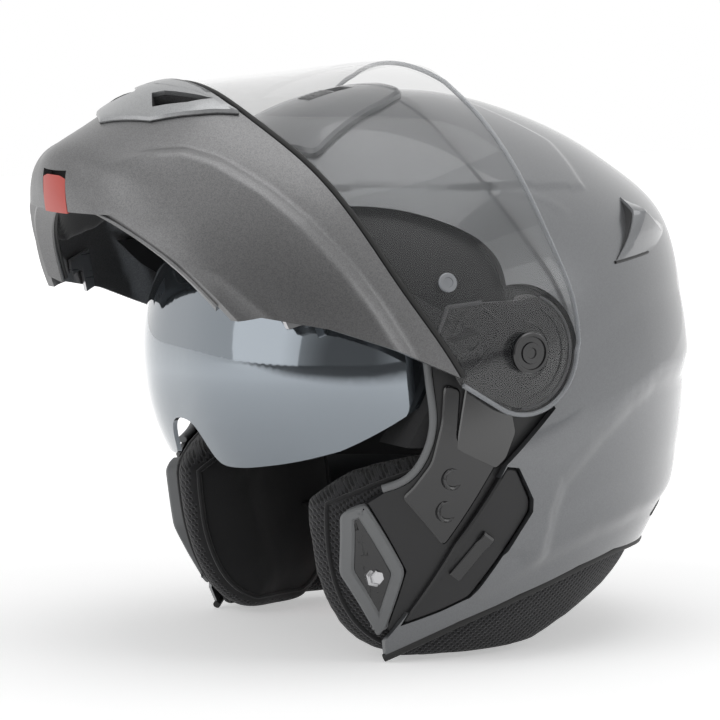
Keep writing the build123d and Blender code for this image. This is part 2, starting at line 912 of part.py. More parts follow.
# Steel hinge plates, pins and caps at the pivot.
hinge_wall = 2.5
hinge_arm_share = (
    (-0.116, -0.130),
    (-0.400, -0.384),
    (-0.439, -0.507),
    (-0.323, -0.425),
    (-0.052, -0.164),
)
pin_base_share = 0.941
pin_shoulder_radius = 8.0
pin_length = 7.4
shoulder_relief = 1.3
hinge_outer = mask_form(chin_wall + skin_gap)
hinge_inner = mask_form(chin_wall + skin_gap + hinge_wall)
hinge_arm = mask_points(hinge_arm_share)
frame_face = shell_half_width - frame_depth
plate_face = mask_half_width - chin_wall - skin_gap - hinge_wall
with BuildPart() as hinge_plate_left:
    add(hinge_outer)
    add(hinge_inner, mode=Mode.SUBTRACT)
    with BuildSketch(mask_side):
        Circle(hinge_radius)
        with BuildLine():
            Polyline((0, 0), *hinge_arm, close=True)
        make_face()
        Circle(hinge_pin_radius + running_gap, mode=Mode.SUBTRACT)
    extrude(amount=half_span, mode=Mode.INTERSECT)

with BuildPart() as hinge_plate_right:
    mirror(hinge_plate_left.part, about=Plane.YZ)

with BuildPart() as hinge_pin_left:
    with BuildSketch(side_plane.offset(pin_base_share * shell_half_width)):
        Circle(hinge_pin_radius)
    extrude(amount=pin_length)
    with BuildSketch(side_plane.offset(frame_face + skin_gap)):
        Circle(pin_shoulder_radius)
    extrude(amount=plate_face - frame_face - 2 * skin_gap - shoulder_relief)

with BuildPart() as hinge_pin_right:
    mirror(hinge_pin_left.part, about=Plane.YZ)

cap_base = mask_half_width - chin_wall + skin_gap
with BuildPart() as pivot_cap_left:
    with BuildSketch(side_plane.offset(cap_base)):
        Circle(cap_shank_radius)
    extrude(amount=chin_wall)
    with BuildSketch(side_plane.offset(mask_half_width + skin_gap)):
        Circle(cap_radius)
    extrude(amount=cap_height)

with BuildPart() as pivot_cap_right:
    mirror(pivot_cap_left.part, about=Plane.YZ)

# Energy-absorbing liner behind the eye opening, hollowed for the stowed sun visor.
liner_share = (
    (-0.305, -0.100),
    (-0.413, -0.293),
    (0.078, -0.293),
    (0.150, -0.500),
    (1.050, -0.533),
    (1.050, 1.050),
    (-1.050, 1.050),
)
liner_setback = 3.4
boss_play = 2.0
liner_front = toward(eyeport_curve[:6], eyeport_centre, -liner_setback)
liner_blank = wall(
    side_plane, liner_outer, liner_inner, shell_points(liner_share), liner_front, True
)

with BuildPart() as impact_liner:
    add(liner_blank)
    add(sun_slot, mode=Mode.SUBTRACT)
    with BuildSketch(side_plane):
        with Locations(sun_spot):
            Circle(sun_boss_radius + boss_play)
    extrude(amount=half_span, both=True, mode=Mode.SUBTRACT)

# Quilted lining of the crown.
crown_share = (
    (-0.400, -0.200),
    (-0.250, -0.270),
    (0.130, -0.280),
    (0.400, -0.400),
    (1.050, -0.400),
    (1.050, 1.050),
    (-1.050, 1.050),
    (-1.050, 0.440),
    (-0.620, 0.420),
)
crown_blank = wall(side_plane, crown_outer, crown_inner, shell_points(crown_share), both=True)

with BuildPart() as crown_liner:
    add(crown_blank)

# Neck roll along the lower edge, behind and below the cheek pads.
roll_depth = 5.0
roll_wall = 17.0
roll_share = (
    (-0.496, -0.980),
    (0.175, -0.980),
    (0.250, -0.957),
    (0.392, -0.885),
    (0.654, -0.773),
    (0.752, -0.733),
    (0.752, -0.640),
    (0.442, -0.620),
    (0.274, -0.650),
    (0.048, -0.730),
    (-0.176, -0.820),
    (-0.420, -0.900),
)
roll_outer = shell_form(roll_depth)
roll_inner = shell_form(roll_depth + roll_wall)
roll_blank = wall(side_plane, roll_outer, roll_inner, shell_points(roll_share), both=True)
roll_room = wall(
    side_plane,
    shell_inner,
    shell_form(roll_depth + roll_wall + 2 * seat_gap),
    shell_points(roll_share),
    both=True,
    growth=2 * seat_gap,
)

with BuildPart() as neck_roll:
    add(roll_blank)

# Cheek pads, cut away where the neck roll and the chin straps pass.
pad_depth = 10.0
pad_wall = 35.0
pad_inner_share = 0.437
pad_share = (
    (-0.661, -0.467),
    (-0.610, -0.733),
    (-0.450, -0.933),
    (-0.300, -0.985),
    (-0.100, -0.985),
    (0.065, -0.867),
    (0.125, -0.600),
    (0.050, -0.360),
    (-0.120, -0.325),
    (-0.289, -0.330),
    (-0.496, -0.390),
)
pad_centre_share = (-0.250, -0.640)
pad_slices_share = ((0.397, 0.840), (0.500, 0.920), (0.635, 0.975), (1.000, 1.000))
strap_half_width = 12.0
strap_wall = 2.0
strap_play = 0.5
rivet_height = 1.5
strap_middle_share = 0.033
strap_share = (
    (0.690, -0.640),
    (0.545, -0.640),
    (0.430, -0.745),
    (0.220, -0.865),
    (0.000, -0.905),
)
pad_outer = shell_form(pad_depth)
pad_inner = shell_form(pad_depth + pad_wall)
pad_base = pad_inner_share * shell_half_width
pad_outline = shell_points(pad_share)
pad_centre = (pad_centre_share[0] * brow_reach, pad_centre_share[1] * skirt_depth)
strap_middle = strap_middle_share * nape_reach
strap_points = [(x * shell_half_width, z * skirt_depth) for x, z in strap_share]
strap_front = Plane(
    origin=(0, pivot_setback + strap_middle, pivot_height), x_dir=(1, 0, 0), z_dir=(0, -1, 0)
)


def pad_slice(offset_share, size_share):
    """The cheek pad's outline at one distance from the middle, sized about its centre."""
    y, z = pad_centre
    outline = [
        (y + (a - y) * size_share, z + (b - z) * size_share) for a, b in pad_outline
    ]
    with BuildSketch(side_plane.offset(offset_share * shell_half_width)) as slice_sketch:
        with BuildLine():
            Spline(*outline, periodic=True)
        make_face()
    return slice_sketch.sketch.faces()[0]


with BuildPart() as cheek_pad_left:
    loft([pad_slice(away, size) for away, size in pad_slices_share])
    add(pad_outer, mode=Mode.INTERSECT)
    add(pad_inner, mode=Mode.SUBTRACT)
    add(roll_room, mode=Mode.SUBTRACT)
    with BuildSketch(Plane.XY):
        Rectangle(4 * half_span, 4 * half_span)
    extrude(amount=-skirt_depth, mode=Mode.SUBTRACT)
    with BuildSketch(side_plane.offset(striker_base - seat_gap)):
        with Locations(striker_spot):
            Rectangle(*[striker_block + 2 * seat_gap] * 2, rotation=striker_turn)
    extrude(amount=half_span, mode=Mode.SUBTRACT)
    for y, z, x in sockets:
        with BuildSketch(side_plane.offset(x - socket_length - seat_gap)):
            with Locations((y, z)):
                Circle(socket_radius + seat_gap)
        extrude(amount=half_span, mode=Mode.SUBTRACT)
    with BuildSketch(side_plane.offset(pad_base)):
        Rectangle(4 * nape_reach, 4 * skirt_depth)
    extrude(amount=-half_span, mode=Mode.SUBTRACT)
    with BuildSketch(strap_front):
        with Locations((strap_points[0][0], strap_points[0][1])):
            Rectangle(half_span / 2, strap_wall + 2 * (rivet_height + strap_play))
    extrude(amount=strap_half_width + strap_play, both=True, mode=Mode.SUBTRACT)

with BuildPart() as cheek_pad_right:
    mirror(cheek_pad_left.part, about=Plane.YZ)

# Chin straps: webbing hanging in a curve, joined by a ratchet buckle.
buckle_share = (-0.295, -0.765)
buckle_run = (0.819, -0.574)
buckle_length = 34.0
buckle_wall = 2.0
buckle_cheek = 1.5
buckle_half_width = 12.7
buckle_height = 12.8
tongue_wall = 2.4
tongue_width = 14.0
tongue_start = -13.0
tongue_end = 36.0
tooth_pitch = 3.0
tooth_count = 9
tooth_width = 1.4
tooth_height = 0.7
lever_wall = 2.0
lever_start = -19.0
lever_pin_radius = 1.6
lever_barrel_radius = 3.0
lever_pin_spot = (11.0, 10.7)
rivet_radius = 5.0
rivet_shank_radius = 2.0
rivet_place_share = 0.63
lap = 9.0
strap_hang_share = (0.065, -0.915)


def buckle_point(along, out):
    """A point of the strap's front view, measured along and out from the buckle."""
    x = buckle_share[0] * shell_half_width + along * buckle_run[0] + out * buckle_run[1]
    z = buckle_share[1] * skirt_depth + along * buckle_run[1] - out * buckle_run[0]
    return (x, z)


def webbing(straight_start, curve, straight_end):
    """A strap of constant thickness: a straight, a hanging curve and a straight."""
    with BuildPart() as strap:
        with BuildSketch(strap_front):
            with BuildLine() as path:
                Line(straight_start, curve[0])
                Spline(*curve)
                Line(curve[-1], straight_end)
            trace(path.line, line_width=strap_wall)
        extrude(amount=strap_half_width, both=True)
    return strap.part


strap_mid_out = buckle_wall / 2 + strap_wall / 2 + skin_gap
left_curve = strap_points[1:4] + [
    (strap_hang_share[0] * shell_half_width, strap_hang_share[1] * skirt_depth),
    buckle_point(tongue_end, strap_mid_out),
]
right_curve = [(-strap_points[1][0], strap_points[1][1]), buckle_point(-buckle_length / 2, 0)]
strap_left_blank = webbing(
    strap_points[0], left_curve, buckle_point(tongue_end - lap, strap_mid_out)
)
strap_right_blank = webbing(
    (-strap_points[0][0], strap_points[0][1]), right_curve, buckle_point(lap - buckle_length / 2, 0)
)
rivet_spot = (rivet_place_share * shell_half_width, strap_middle)
strap_level = top_plane.offset(strap_points[0][1])

with BuildPart() as chin_strap_left:
    add(strap_left_blank)
    with BuildSketch(strap_level):
        with Locations(rivet_spot):
            Circle(rivet_shank_radius + running_gap)
    extrude(amount=strap_wall, both=True, mode=Mode.SUBTRACT)

with BuildPart() as chin_strap_right:
    add(strap_right_blank)
    with BuildSketch(strap_level):
        with Locations((-rivet_spot[0], rivet_spot[1])):
            Circle(rivet_shank_radius + running_gap)
    extrude(amount=strap_wall, both=True, mode=Mode.SUBTRACT)

with BuildPart() as strap_rivets:
    for side in (1, -1):
        with BuildSketch(strap_level):
            with Locations((side * rivet_spot[0], rivet_spot[1])):
                Circle(rivet_shank_radius)
        extrude(amount=strap_wall / 2 + running_gap + rivet_height, both=True)
        for face in (1, -1):
            with BuildSketch(strap_level.offset(face * (strap_wall / 2 + running_gap))):
                with Locations((side * rivet_spot[0], rivet_spot[1])):
                    Circle(rivet_radius)
            extrude(amount=face * rivet_height)

# Ratchet buckle: a channel with a pinned lever over a toothed tongue.
buckle_x, buckle_z = buckle_point(0, 0)
buckle_front = Plane(
    origin=(buckle_x, pivot_setback + strap_middle, pivot_height + buckle_z),
    x_dir=(buckle_run[0], 0, buckle_run[1]),
    z_dir=(0, -1, 0),
)
base_low = strap_wall / 2 + skin_gap
base_top = base_low + buckle_wall
tongue_low = base_top + skin_gap
tongue_top = tongue_low + tongue_wall

with BuildPart() as buckle_body:
    with BuildSketch(buckle_front):
        with Locations((0, -(base_low + buckle_wall / 2))):
            Rectangle(buckle_length, buckle_wall)
    extrude(amount=buckle_half_width, both=True)
    for side in (1, -1):
        with BuildSketch(buckle_front.offset(side * buckle_half_width)):
            with Locations((0, -(base_low + buckle_height / 2))):
                Rectangle(buckle_length, buckle_height)
        extrude(amount=-side * buckle_cheek)
    with BuildSketch(buckle_front):
        with Locations((lever_pin_spot[0], -lever_pin_spot[1])):
            Circle(lever_pin_radius)
    extrude(amount=buckle_half_width, both=True)

with BuildPart() as strap_tongue:
    with BuildSketch(buckle_front):
        with Locations(((tongue_start + tongue_end) / 2, -(tongue_low + tongue_wall / 2))):
            Rectangle(tongue_end - tongue_start, tongue_wall)
        with Locations(
            *[
                (tongue_start + tooth_pitch * (tooth + 1), -tongue_top - tooth_height / 2)
                for tooth in range(tooth_count)
            ]
        ):
            Rectangle(tooth_width, tooth_height + skin_gap)
    extrude(amount=tongue_width / 2, both=True)

with BuildPart() as buckle_lever:
    with BuildSketch(buckle_front):
        with Locations(((lever_start + lever_pin_spot[0]) / 2, -lever_pin_spot[1])):
            Rectangle(lever_pin_spot[0] - lever_start, lever_wall)
        with Locations((lever_pin_spot[0], -lever_pin_spot[1])):
            Circle(lever_barrel_radius)
            Circle(lever_pin_radius + running_gap, mode=Mode.SUBTRACT)
    extrude(amount=buckle_half_width - buckle_cheek - seat_gap, both=True)

pieces = {
    "outer_shell": outer_shell,
    "face_frame": face_frame,
    "frame_cheek_left": frame_cheek_left,
    "frame_cheek_right": frame_cheek_right,
    "eyeport_gasket": eyeport_gasket,
    "side_plate_left": side_plate_left,
    "side_plate_right": side_plate_right,
    "plate_sockets_left": plate_sockets_left,
    "plate_sockets_right": plate_sockets_right,
    "lock_plate_left": lock_plate_left,
    "lock_plate_right": lock_plate_right,
    "lock_striker_left": lock_striker_left,
    "lock_striker_right": lock_striker_right,
    "side_panel_left": side_panel_left,
    "side_panel_right": side_panel_right,
    "sun_visor": sun_visor,
    "sun_visor_pins": sun_visor_pins,
    "sun_visor_slider": sun_visor_slider,
    "rim_trim": rim_trim,
    "top_vent_cover": top_vent_cover,
    "top_vent_slider": top_vent_slider,
    "rear_vent_left": rear_vent_left,
    "rear_vent_right": rear_vent_right,
    "chin_bar": chin_bar,
    "chin_liner": chin_liner,
    "chin_vent_frame": chin_vent_frame,
    "chin_vent_shutter": chin_vent_shutter,
    "latch_button": latch_button,
    "latch_hook_left": latch_hook_left,
    "latch_hook_right": latch_hook_right,
    "clear_visor": clear_visor,
    "visor_seal": visor_seal,
    "lens_pins": lens_pins,
    "hinge_plate_left": hinge_plate_left,
    "hinge_plate_right": hinge_plate_right,
    "hinge_pin_left": hinge_pin_left,
    "hinge_pin_right": hinge_pin_right,
    "pivot_cap_left": pivot_cap_left,
    "pivot_cap_right": pivot_cap_right,
    "impact_liner": impact_liner,
    "crown_liner": crown_liner,
    "neck_roll": neck_roll,
    "cheek_pad_left": cheek_pad_left,
    "cheek_pad_right": cheek_pad_right,
    "chin_strap_left": chin_strap_left,
    "chin_strap_right": chin_strap_right,
    "strap_rivets": strap_rivets,
    "buckle_body": buckle_body,
    "buckle_lever": buckle_lever,
    "strap_tongue": strap_tongue,
}

os.makedirs("parts", exist_ok=True)
for name, piece in pieces.items():
    piece.part.label = name
    export_step(piece.part, f"parts/{name}.step")
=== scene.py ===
"""Modular motorcycle helmet, chin bar raised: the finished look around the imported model."""

import json
import math

import bmesh
import bpy
import numpy as np
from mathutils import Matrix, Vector
from mathutils.bvhtree import BVHTree

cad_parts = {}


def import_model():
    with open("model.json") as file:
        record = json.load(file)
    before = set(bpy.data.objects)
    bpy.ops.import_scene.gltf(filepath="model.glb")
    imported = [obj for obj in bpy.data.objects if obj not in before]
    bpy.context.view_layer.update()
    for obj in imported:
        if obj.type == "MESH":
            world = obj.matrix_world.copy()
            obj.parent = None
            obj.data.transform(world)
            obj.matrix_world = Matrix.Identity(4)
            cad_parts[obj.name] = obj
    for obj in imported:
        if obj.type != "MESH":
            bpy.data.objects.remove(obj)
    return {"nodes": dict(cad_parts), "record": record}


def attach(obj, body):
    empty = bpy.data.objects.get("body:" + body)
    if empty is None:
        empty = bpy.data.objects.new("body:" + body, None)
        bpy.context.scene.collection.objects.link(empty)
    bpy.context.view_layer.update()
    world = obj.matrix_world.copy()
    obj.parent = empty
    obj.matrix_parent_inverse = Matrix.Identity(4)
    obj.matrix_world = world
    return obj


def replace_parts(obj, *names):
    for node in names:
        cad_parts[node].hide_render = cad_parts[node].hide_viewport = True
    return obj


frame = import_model()

bl_info = {
    "name": "Modular helmet",
    "version": (1, 0, 0),
    "blender": (4, 5, 0),
    "location": "View3D > Sidebar > Helmet",
    "description": "Builds a modular helmet with its chin bar raised",
    "category": "Object",
}

MM = 0.001


def metres(line):
    """Points given in millimetres."""
    return [tuple(q * MM for q in p) for p in line]


# Form tables as shares: height, front, rear and half width.
SHELL_ROWS = (
    (-1.000, 0.843, 0.601, 0.746),
    (-0.833, 0.893, 0.732, 0.849),
    (-0.667, 0.926, 0.850, 0.929),
    (-0.500, 0.946, 0.938, 0.976),
    (-0.333, 0.967, 0.984, 0.996),
    (-0.133, 0.992, 1.000, 1.000),
    (0.086, 1.000, 0.993, 0.988),
    (0.302, 0.959, 0.974, 0.937),
    (0.474, 0.888, 0.931, 0.849),
    (0.647, 0.781, 0.791, 0.710),
    (0.793, 0.636, 0.614, 0.540),
    (0.897, 0.471, 0.431, 0.373),
    (0.957, 0.306, 0.281, 0.238),
    (0.990, 0.140, 0.131, 0.111),
)
MASK_ROWS = (
    (-0.997, 0.781, 0.382),
    (-0.980, 0.850, 0.460),
    (-0.950, 0.912, 0.560),
    (-0.900, 0.949, 0.690),
    (-0.822, 0.961, 0.802),
    (-0.720, 0.972, 0.875),
    (-0.616, 0.987, 0.924),
    (-0.514, 0.995, 0.954),
    (-0.411, 0.979, 0.977),
    (-0.274, 0.946, 0.992),
    (-0.137, 0.910, 1.000),
    (0.000, 0.874, 1.000),
    (0.294, 0.839, 0.981),
    (0.588, 0.797, 0.947),
    (0.838, 0.745, 0.893),
    (1.000, 0.700, 0.840),
)
# Side-view outlines of the shell, as shares of its reaches and heights.
SHELL_EDGE_CURVE = (
    (-1.116, 0.560), (-0.661, 0.565), (-0.512, 0.573), (-0.380, 0.560),
    (-0.227, 0.509), (-0.114, 0.440), (-0.060, 0.359), (-0.050, 0.259),
)
SHELL_EDGE = ((0.013, 0.000), (0.114, -0.183), (-0.070, -0.347), (-0.374, -0.812), (-0.430, -0.913))
RIM = (
    (-0.413, -0.960), (-0.176, -0.851), (0.048, -0.775), (0.274, -0.705),
    (0.442, -0.673), (0.739, -0.680), (1.144, -0.693),
)
SHELL_FAR = ((1.144, 1.121), (-1.116, 1.121))
EYEPORT = (
    (-1.116, 0.353), (-0.868, 0.362), (-0.628, 0.328), (-0.463, 0.224), (-0.364, 0.052),
    (-0.339, -0.100), (-0.326, -0.207), (-0.361, -0.333), (-0.421, -0.400), (-0.496, -0.430),
)
EYEPORT_CENTRE = (-0.785, -0.080)
FRAME_BACK = (
    (-0.545, -0.463), (-0.397, -0.680), (-0.421, -0.873), (-0.380, -0.887), (-0.248, -0.833),
    (-0.116, -0.773), (0.078, -0.533), (0.105, -0.413), (0.157, -0.320), (0.248, -0.200),
    (0.261, 0.000), (0.235, 0.190), (0.131, 0.397), (0.026, 0.534), (-0.248, 0.629),
    (-0.579, 0.655), (-1.116, 0.655),
)
SIDE_PLATE = (
    (-0.306, -0.093), (-0.314, -0.210), (-0.346, -0.335), (-0.408, -0.414), (-0.440, -0.442),
    (-0.281, -0.600), (-0.190, -0.473), (-0.091, -0.333), (-0.256, -0.267), (-0.244, -0.107),
)
CHEEK_PANEL = (
    (-0.222, -0.080), (-0.262, -0.296), (-0.104, -0.362), (-0.060, -0.330), (-0.020, -0.250),
    (-0.060, -0.100),
)
LOCK_PLATE = (
    (-0.550, -0.470), (-0.579, -0.477), (-0.624, -0.500), (-0.607, -0.690),
    (-0.446, -0.900), (-0.426, -0.867), (-0.403, -0.680),
)
SIDE_PANEL = (
    (-0.069, -0.356), (-0.023, -0.361), (0.035, -0.462), (0.036, -0.501), (-0.160, -0.771),
    (-0.264, -0.814), (-0.388, -0.857), (-0.372, -0.812), (-0.254, -0.594),
)

# Side-view outlines of the mask's form with the chin bar closed, as shares of its reach and heights.
CHIN_TOP = (
    (-1.065, -0.452), (-0.977, -0.442), (-0.900, -0.436), (-0.748, -0.396),
    (-0.568, -0.366), (-0.332, -0.336), (-0.140, -0.288), (-0.023, -0.259),
)
CHIN_LOW = (
    (-0.168, -0.420), (-0.303, -0.593), (-0.399, -0.760), (-0.410, -0.825),
    (-0.597, -0.878), (-0.766, -0.947), (-0.781, -1.003), (-1.065, -1.027),
)
VISOR_TOP = (
    (-1.065, 0.912), (-0.755, 0.853), (-0.723, 0.713), (-0.658, 0.654), (-0.552, 0.610),
    (-0.400, 0.551), (-0.232, 0.515), (-0.074, 0.500), (0.058, 0.426),
)
EAR_PLATE = ((0.004, -0.254), (-0.146, -0.288), (-0.223, -0.202), (-0.194, -0.087), (-0.158, 0.050))
HINGE_ARM = ((-0.116, -0.130), (-0.400, -0.384), (-0.439, -0.507), (-0.323, -0.425), (-0.052, -0.164))
CHIN_PADDING = (
    (-1.065, -0.520), (-0.800, -0.500), (-0.560, -0.470), (-0.535, -0.620), (-0.560, -0.790),
    (-0.660, -0.845), (-0.760, -0.890), (-1.065, -0.900),
)

# Front view of the chin vent and top view of the crown vent.
VENT_FRAME = (
    (0.000, -0.753), (0.210, -0.671), (0.327, -0.548), (0.398, -0.448), (0.382, -0.441),
    (0.290, -0.452), (0.189, -0.470), (0.098, -0.490), (0.000, -0.495),
)
VENT_SLOT = (
    (0.069, -0.575), (0.168, -0.630), (0.260, -0.548), (0.298, -0.473), (0.206, -0.514),
    (0.107, -0.548),
)
TOP_VENT = (
    (0.000, -0.645), (0.238, -0.612), (0.381, -0.545), (0.306, -0.306), (0.260, -0.165),
    (0.175, -0.025),
)
VENT_SLIT = metres([(-6.3, -45.8), (6.3, -45.8), (6.3, -22.2), (-6.3, -22.2)])
VENT_KNOB = metres([(-6, -45.5), (6, -45.5), (6, -30.5), (-6, -30.5)])

# More side-view outlines of the shell's form: the rear hoods and the lining.
REAR_VENT = ((0.556, 0.560), (0.412, 0.319), (0.627, 0.345), (0.771, 0.422))
CHEEK_PAD = (
    (-0.661, -0.467), (-0.610, -0.733), (-0.450, -0.933), (-0.300, -0.985), (-0.100, -0.985),
    (0.065, -0.867), (0.125, -0.600), (0.050, -0.360), (-0.120, -0.325), (-0.289, -0.330),
    (-0.496, -0.390),
)
NECK_ROLL = (
    (-0.400, -0.965), (0.165, -0.968), (0.245, -0.945), (0.392, -0.872), (0.654, -0.762),
    (0.745, -0.722), (0.745, -0.655), (0.442, -0.640), (0.274, -0.668), (0.048, -0.745),
    (-0.176, -0.830), (-0.390, -0.905),
)
CROWN_LINING = (
    (-0.400, -0.200), (-0.250, -0.270), (0.130, -0.280), (0.400, -0.400), (1.050, -0.400),
    (1.050, 1.050), (-1.050, 1.050), (-1.050, 0.440), (-0.620, 0.420),
)

# Front view of the chin straps and their buckle.
BUCKLE = (-0.295, -0.765)
BUCKLE_RUN = (0.819, -0.574)
STRAP_TOP = ((0.690, -0.640), (0.545, -0.640))
STRAP_HANG = ((0.430, -0.745), (0.220, -0.865), (0.065, -0.915))

# Radii about the pivot, and the wall of each form.
EAR_HOLE = 31 * MM
VISOR_EAR = 29 * MM
EAR_ARC = 26.5 * MM
CAP_HOLE = 8 * MM
FRAME_WALL = 3 * MM
VISOR_WALL = 2.2 * MM
FOAM_DEPTH = 26.8 * MM  # from the face frame's outside to the crown lining
PLAY = 0.3 * MM

# Crests and panel lines on the left side, in millimetres about the pivot.
FLANK = metres([
    (78, 124, -14), (94, 104.4, -15.3), (106.2, 86.3, -17.8), (116.2, 65.4, -26.5), (122.9, 44.1, -39.6),
    (125.4, 31.4, -50.2), (126.8, 19.5, -61.0), (124.0, 13.1, -79.6), (120.0, 10.0, -95.0),
])
SKIRT = metres([
    (70, 118, -76), (101.4, 81.5, -80.7), (114.8, 49.8, -86.1), (118.9, 24.8, -93.1), (117.7, 3.5, -102.4),
    (112.8, -15.4, -111.9),
])
PANEL_REAR = metres([
    (0, 23, 112), (23.1, 29.4, 110.9), (37.7, 41.4, 104.1), (53.0, 59.1, 92.3), (66.5, 60.2, 83.4),
    (78.0, 60.2, 74.5), (84, 61, 69),
])
PANEL_SIDE = metres([
    (84, 68, 71), (81.5, 60.8, 71.3), (86.0, 44.9, 72.2), (88.7, 20.8, 74.1), (89.7, -7.3, 74.2),
    (84.4, -31.3, 75.2), (77.2, -48.6, 75.9), (57.0, -79.8, 73.4), (40, -96, 70),
])
CHEVRON = metres([
    (91.5, 8.0, 72.4), (93.1, 24.7, 69.1), (95.0, 33.6, 65.6), (97.4, 41.0, 60.7), (103.4, 33.8, 54.4),
    (108.3, 26.8, 48.4),
])
CHIN_RIDGE = metres([
    (18, -139, -136), (31.3, -138.3, -131), (36.2, -137.6, -127.4), (46.8, -135.5, -113.1),
    (56.1, -132.3, -102.4), (67.5, -125.5, -94.9), (86.9, -108.3, -85.4), (100.9, -90.2, -78.2),
    (113.1, -67.4, -71.8), (121.2, -45, -67.1), (128, -20, -63),
])
CHIN_LIP = metres([
    (0, -119, -146), (17.2, -118.1, -144.8), (31.2, -113.4, -143), (49.6, -104.2, -138.8),
    (71.6, -87.5, -132), (87, -74.9, -124.6), (103.5, -49.8, -113.8),
])


def length_property(name, value, note):
    return bpy.props.FloatProperty(name=name, description=note, default=value, unit="LENGTH")


def colour_property(name, value, note):
    return bpy.props.FloatVectorProperty(
        name=name, description=note, default=value, subtype="COLOR", min=0, max=1
    )


class HelmetSizes(bpy.types.PropertyGroup):
    """Sizes of the helmet."""

    pivot_height: length_property("Pivot height", 0.147, "Height of the visor pivot over the floor")
    crown_height: length_property("Crown height", 0.116, "Height of the crown over the pivot")
    skirt_depth: length_property("Skirt depth", 0.150, "Depth of the shell's skirt under the pivot")
    brow_reach: length_property("Brow reach", 0.121, "Reach of the shell ahead of the pivot")
    nape_reach: length_property("Nape reach", 0.153, "Reach of the shell behind the pivot")
    half_width: length_property("Half width", 0.126, "Half the shell's width")
    shell_wall: length_property("Shell wall", 0.004, "Thickness of the shell")
    chin_lead: length_property("Chin lead", 0.034, "Reach of the closed chin ahead of the brow")
    mask_step: length_property("Mask step", 0.005, "Step of the mask outside the shell")
    mask_rise: length_property("Mask rise", 0.068, "Rise of the mask's form over the pivot")
    chin_depth: length_property("Chin depth", 0.146, "Depth of the closed chin under the pivot")
    chin_wall: length_property("Chin wall", 0.0035, "Thickness of the chin bar")
    frame_depth: length_property("Frame depth", 0.0044, "Depth of the face frame under the shell")
    chin_travel: bpy.props.FloatProperty(
        name="Chin travel", description="Opening angle of the chin bar",
        default=math.radians(70), unit="ROTATION",
    )


class HelmetColours(bpy.types.PropertyGroup):
    """Colours of the helmet's finishes."""

    shell: colour_property("Shell", (0.150, 0.155, 0.162), "Metallic paint of the shell")
    chin_bar: colour_property("Chin bar", (0.160, 0.160, 0.162), "Satin metallic paint of the chin bar")
    vent: colour_property("Chin vent", (0.30, 0.305, 0.31), "Silver paint of the chin vent's frame")
    button: colour_property("Button", (0.58, 0.07, 0.05), "Plastic of the release button")
    plastic: colour_property("Plastic", (0.012, 0.012, 0.013), "Face frame and lower plates")
    mesh: colour_property("Mesh", (0.022, 0.022, 0.024), "Open mesh of the pads")
    lining: colour_property("Lining", (0.012, 0.012, 0.013), "Brushed lining")
    visor: colour_property("Visor", (0.10, 0.105, 0.11), "Tint of the clear visor")
    sun_visor: colour_property("Sun visor", (0.23, 0.26, 0.29), "Tint of the sun visor")


def sizes():
    return bpy.context.scene.helmet_sizes


def mask_reach(s):
    """Reach of the closed chin ahead of the pivot."""
    return s.brow_reach + s.chin_lead


def spline(points, per=10):
    """Points of a smooth curve through the given points."""
    p = np.array(points, float)
    n = len(p)
    t = np.r_[0, np.cumsum(np.sqrt(((p[1:] - p[:-1]) ** 2).sum(1)))]
    h = np.diff(t)
    a = np.zeros((n, n))
    b = np.zeros((n, p.shape[1]))
    a[0, 0] = a[-1, -1] = 1
    for i in range(1, n - 1):
        a[i, i - 1], a[i, i], a[i, i + 1] = h[i - 1], 2 * (h[i - 1] + h[i]), h[i]
        b[i] = 6 * ((p[i + 1] - p[i]) / h[i] - (p[i] - p[i - 1]) / h[i - 1])
    m = np.linalg.solve(a, b)
    out = []
    for i in range(n - 1):
        s = np.linspace(0, 1, per, endpoint=False)[:, None] * h[i]
        r = h[i] - s
        out.append(
            (m[i] * r**3 + m[i + 1] * s**3) / (6 * h[i])
            + (p[i] / h[i] - m[i] * h[i] / 6) * r
            + (p[i + 1] / h[i] - m[i + 1] * h[i] / 6) * s
        )
    return np.vstack(out + [p[-1:]])


def shell_side(shares):
    """Side-view points of the shell from their shares."""
    s = sizes()
    return [
        (u * (s.brow_reach if u < 0 else s.nape_reach), v * (s.crown_height if v > 0 else s.skirt_depth))
        for u, v in shares
    ]


def mask_side(shares):
    """Side-view points of the closed mask from their shares."""
    s = sizes()
    reach = mask_reach(s)
    return [(u * reach, v * (s.mask_rise if v > 0 else s.chin_depth)) for u, v in shares]


def pivot():
    """The visor's pivot, with the helmet centred front to back."""
    s = sizes()
    return Vector((0, (mask_reach(s) * 1.161 - s.nape_reach) / 2, s.pivot_height))


def swing(p, angle):
    """Points about the pivot, turned up about the ear axis."""
    y = p[:, 1] * math.cos(angle) + p[:, 2] * math.sin(angle)
    z = -p[:, 1] * math.sin(angle) + p[:, 2] * math.cos(angle)
    return np.c_[p[:, 0], y, z]


def world(p, swung=False):
    """Points about the pivot to the frame's own; those on the chin bar are given closed."""
    p = np.atleast_2d(np.array(p, float))
    if swung:
        p = swing(p, sizes().chin_travel)
    return p + np.array(pivot())


def shell_rows(inset):
    """The shell's form, drawn in by a depth: height, front, rear and half width."""
    s = sizes()
    rows = []
    for h, f, r, w in SHELL_ROWS + ((1.0, 0.002, 0.002, 0.002),):
        rise = h * (s.crown_height - inset if h > 0 else s.skirt_depth + 2 * MM * (inset > 0))
        rows.append(
            (rise, f * (s.brow_reach - inset), r * (s.nape_reach - inset), w * (s.half_width - inset))
        )
    return rows


def mask_rows(inset):
    """The closed mask's form, drawn in by a depth."""
    s = sizes()
    reach = mask_reach(s)
    tail = reach + 2 * s.mask_step - inset
    rows = []
    for h, f, w in MASK_ROWS:
        rise = h * (s.mask_rise if h > 0 else s.chin_depth - inset)
        rows.append((rise, f * (reach - inset), tail, w * (s.half_width + s.mask_step - inset)))
    return rows


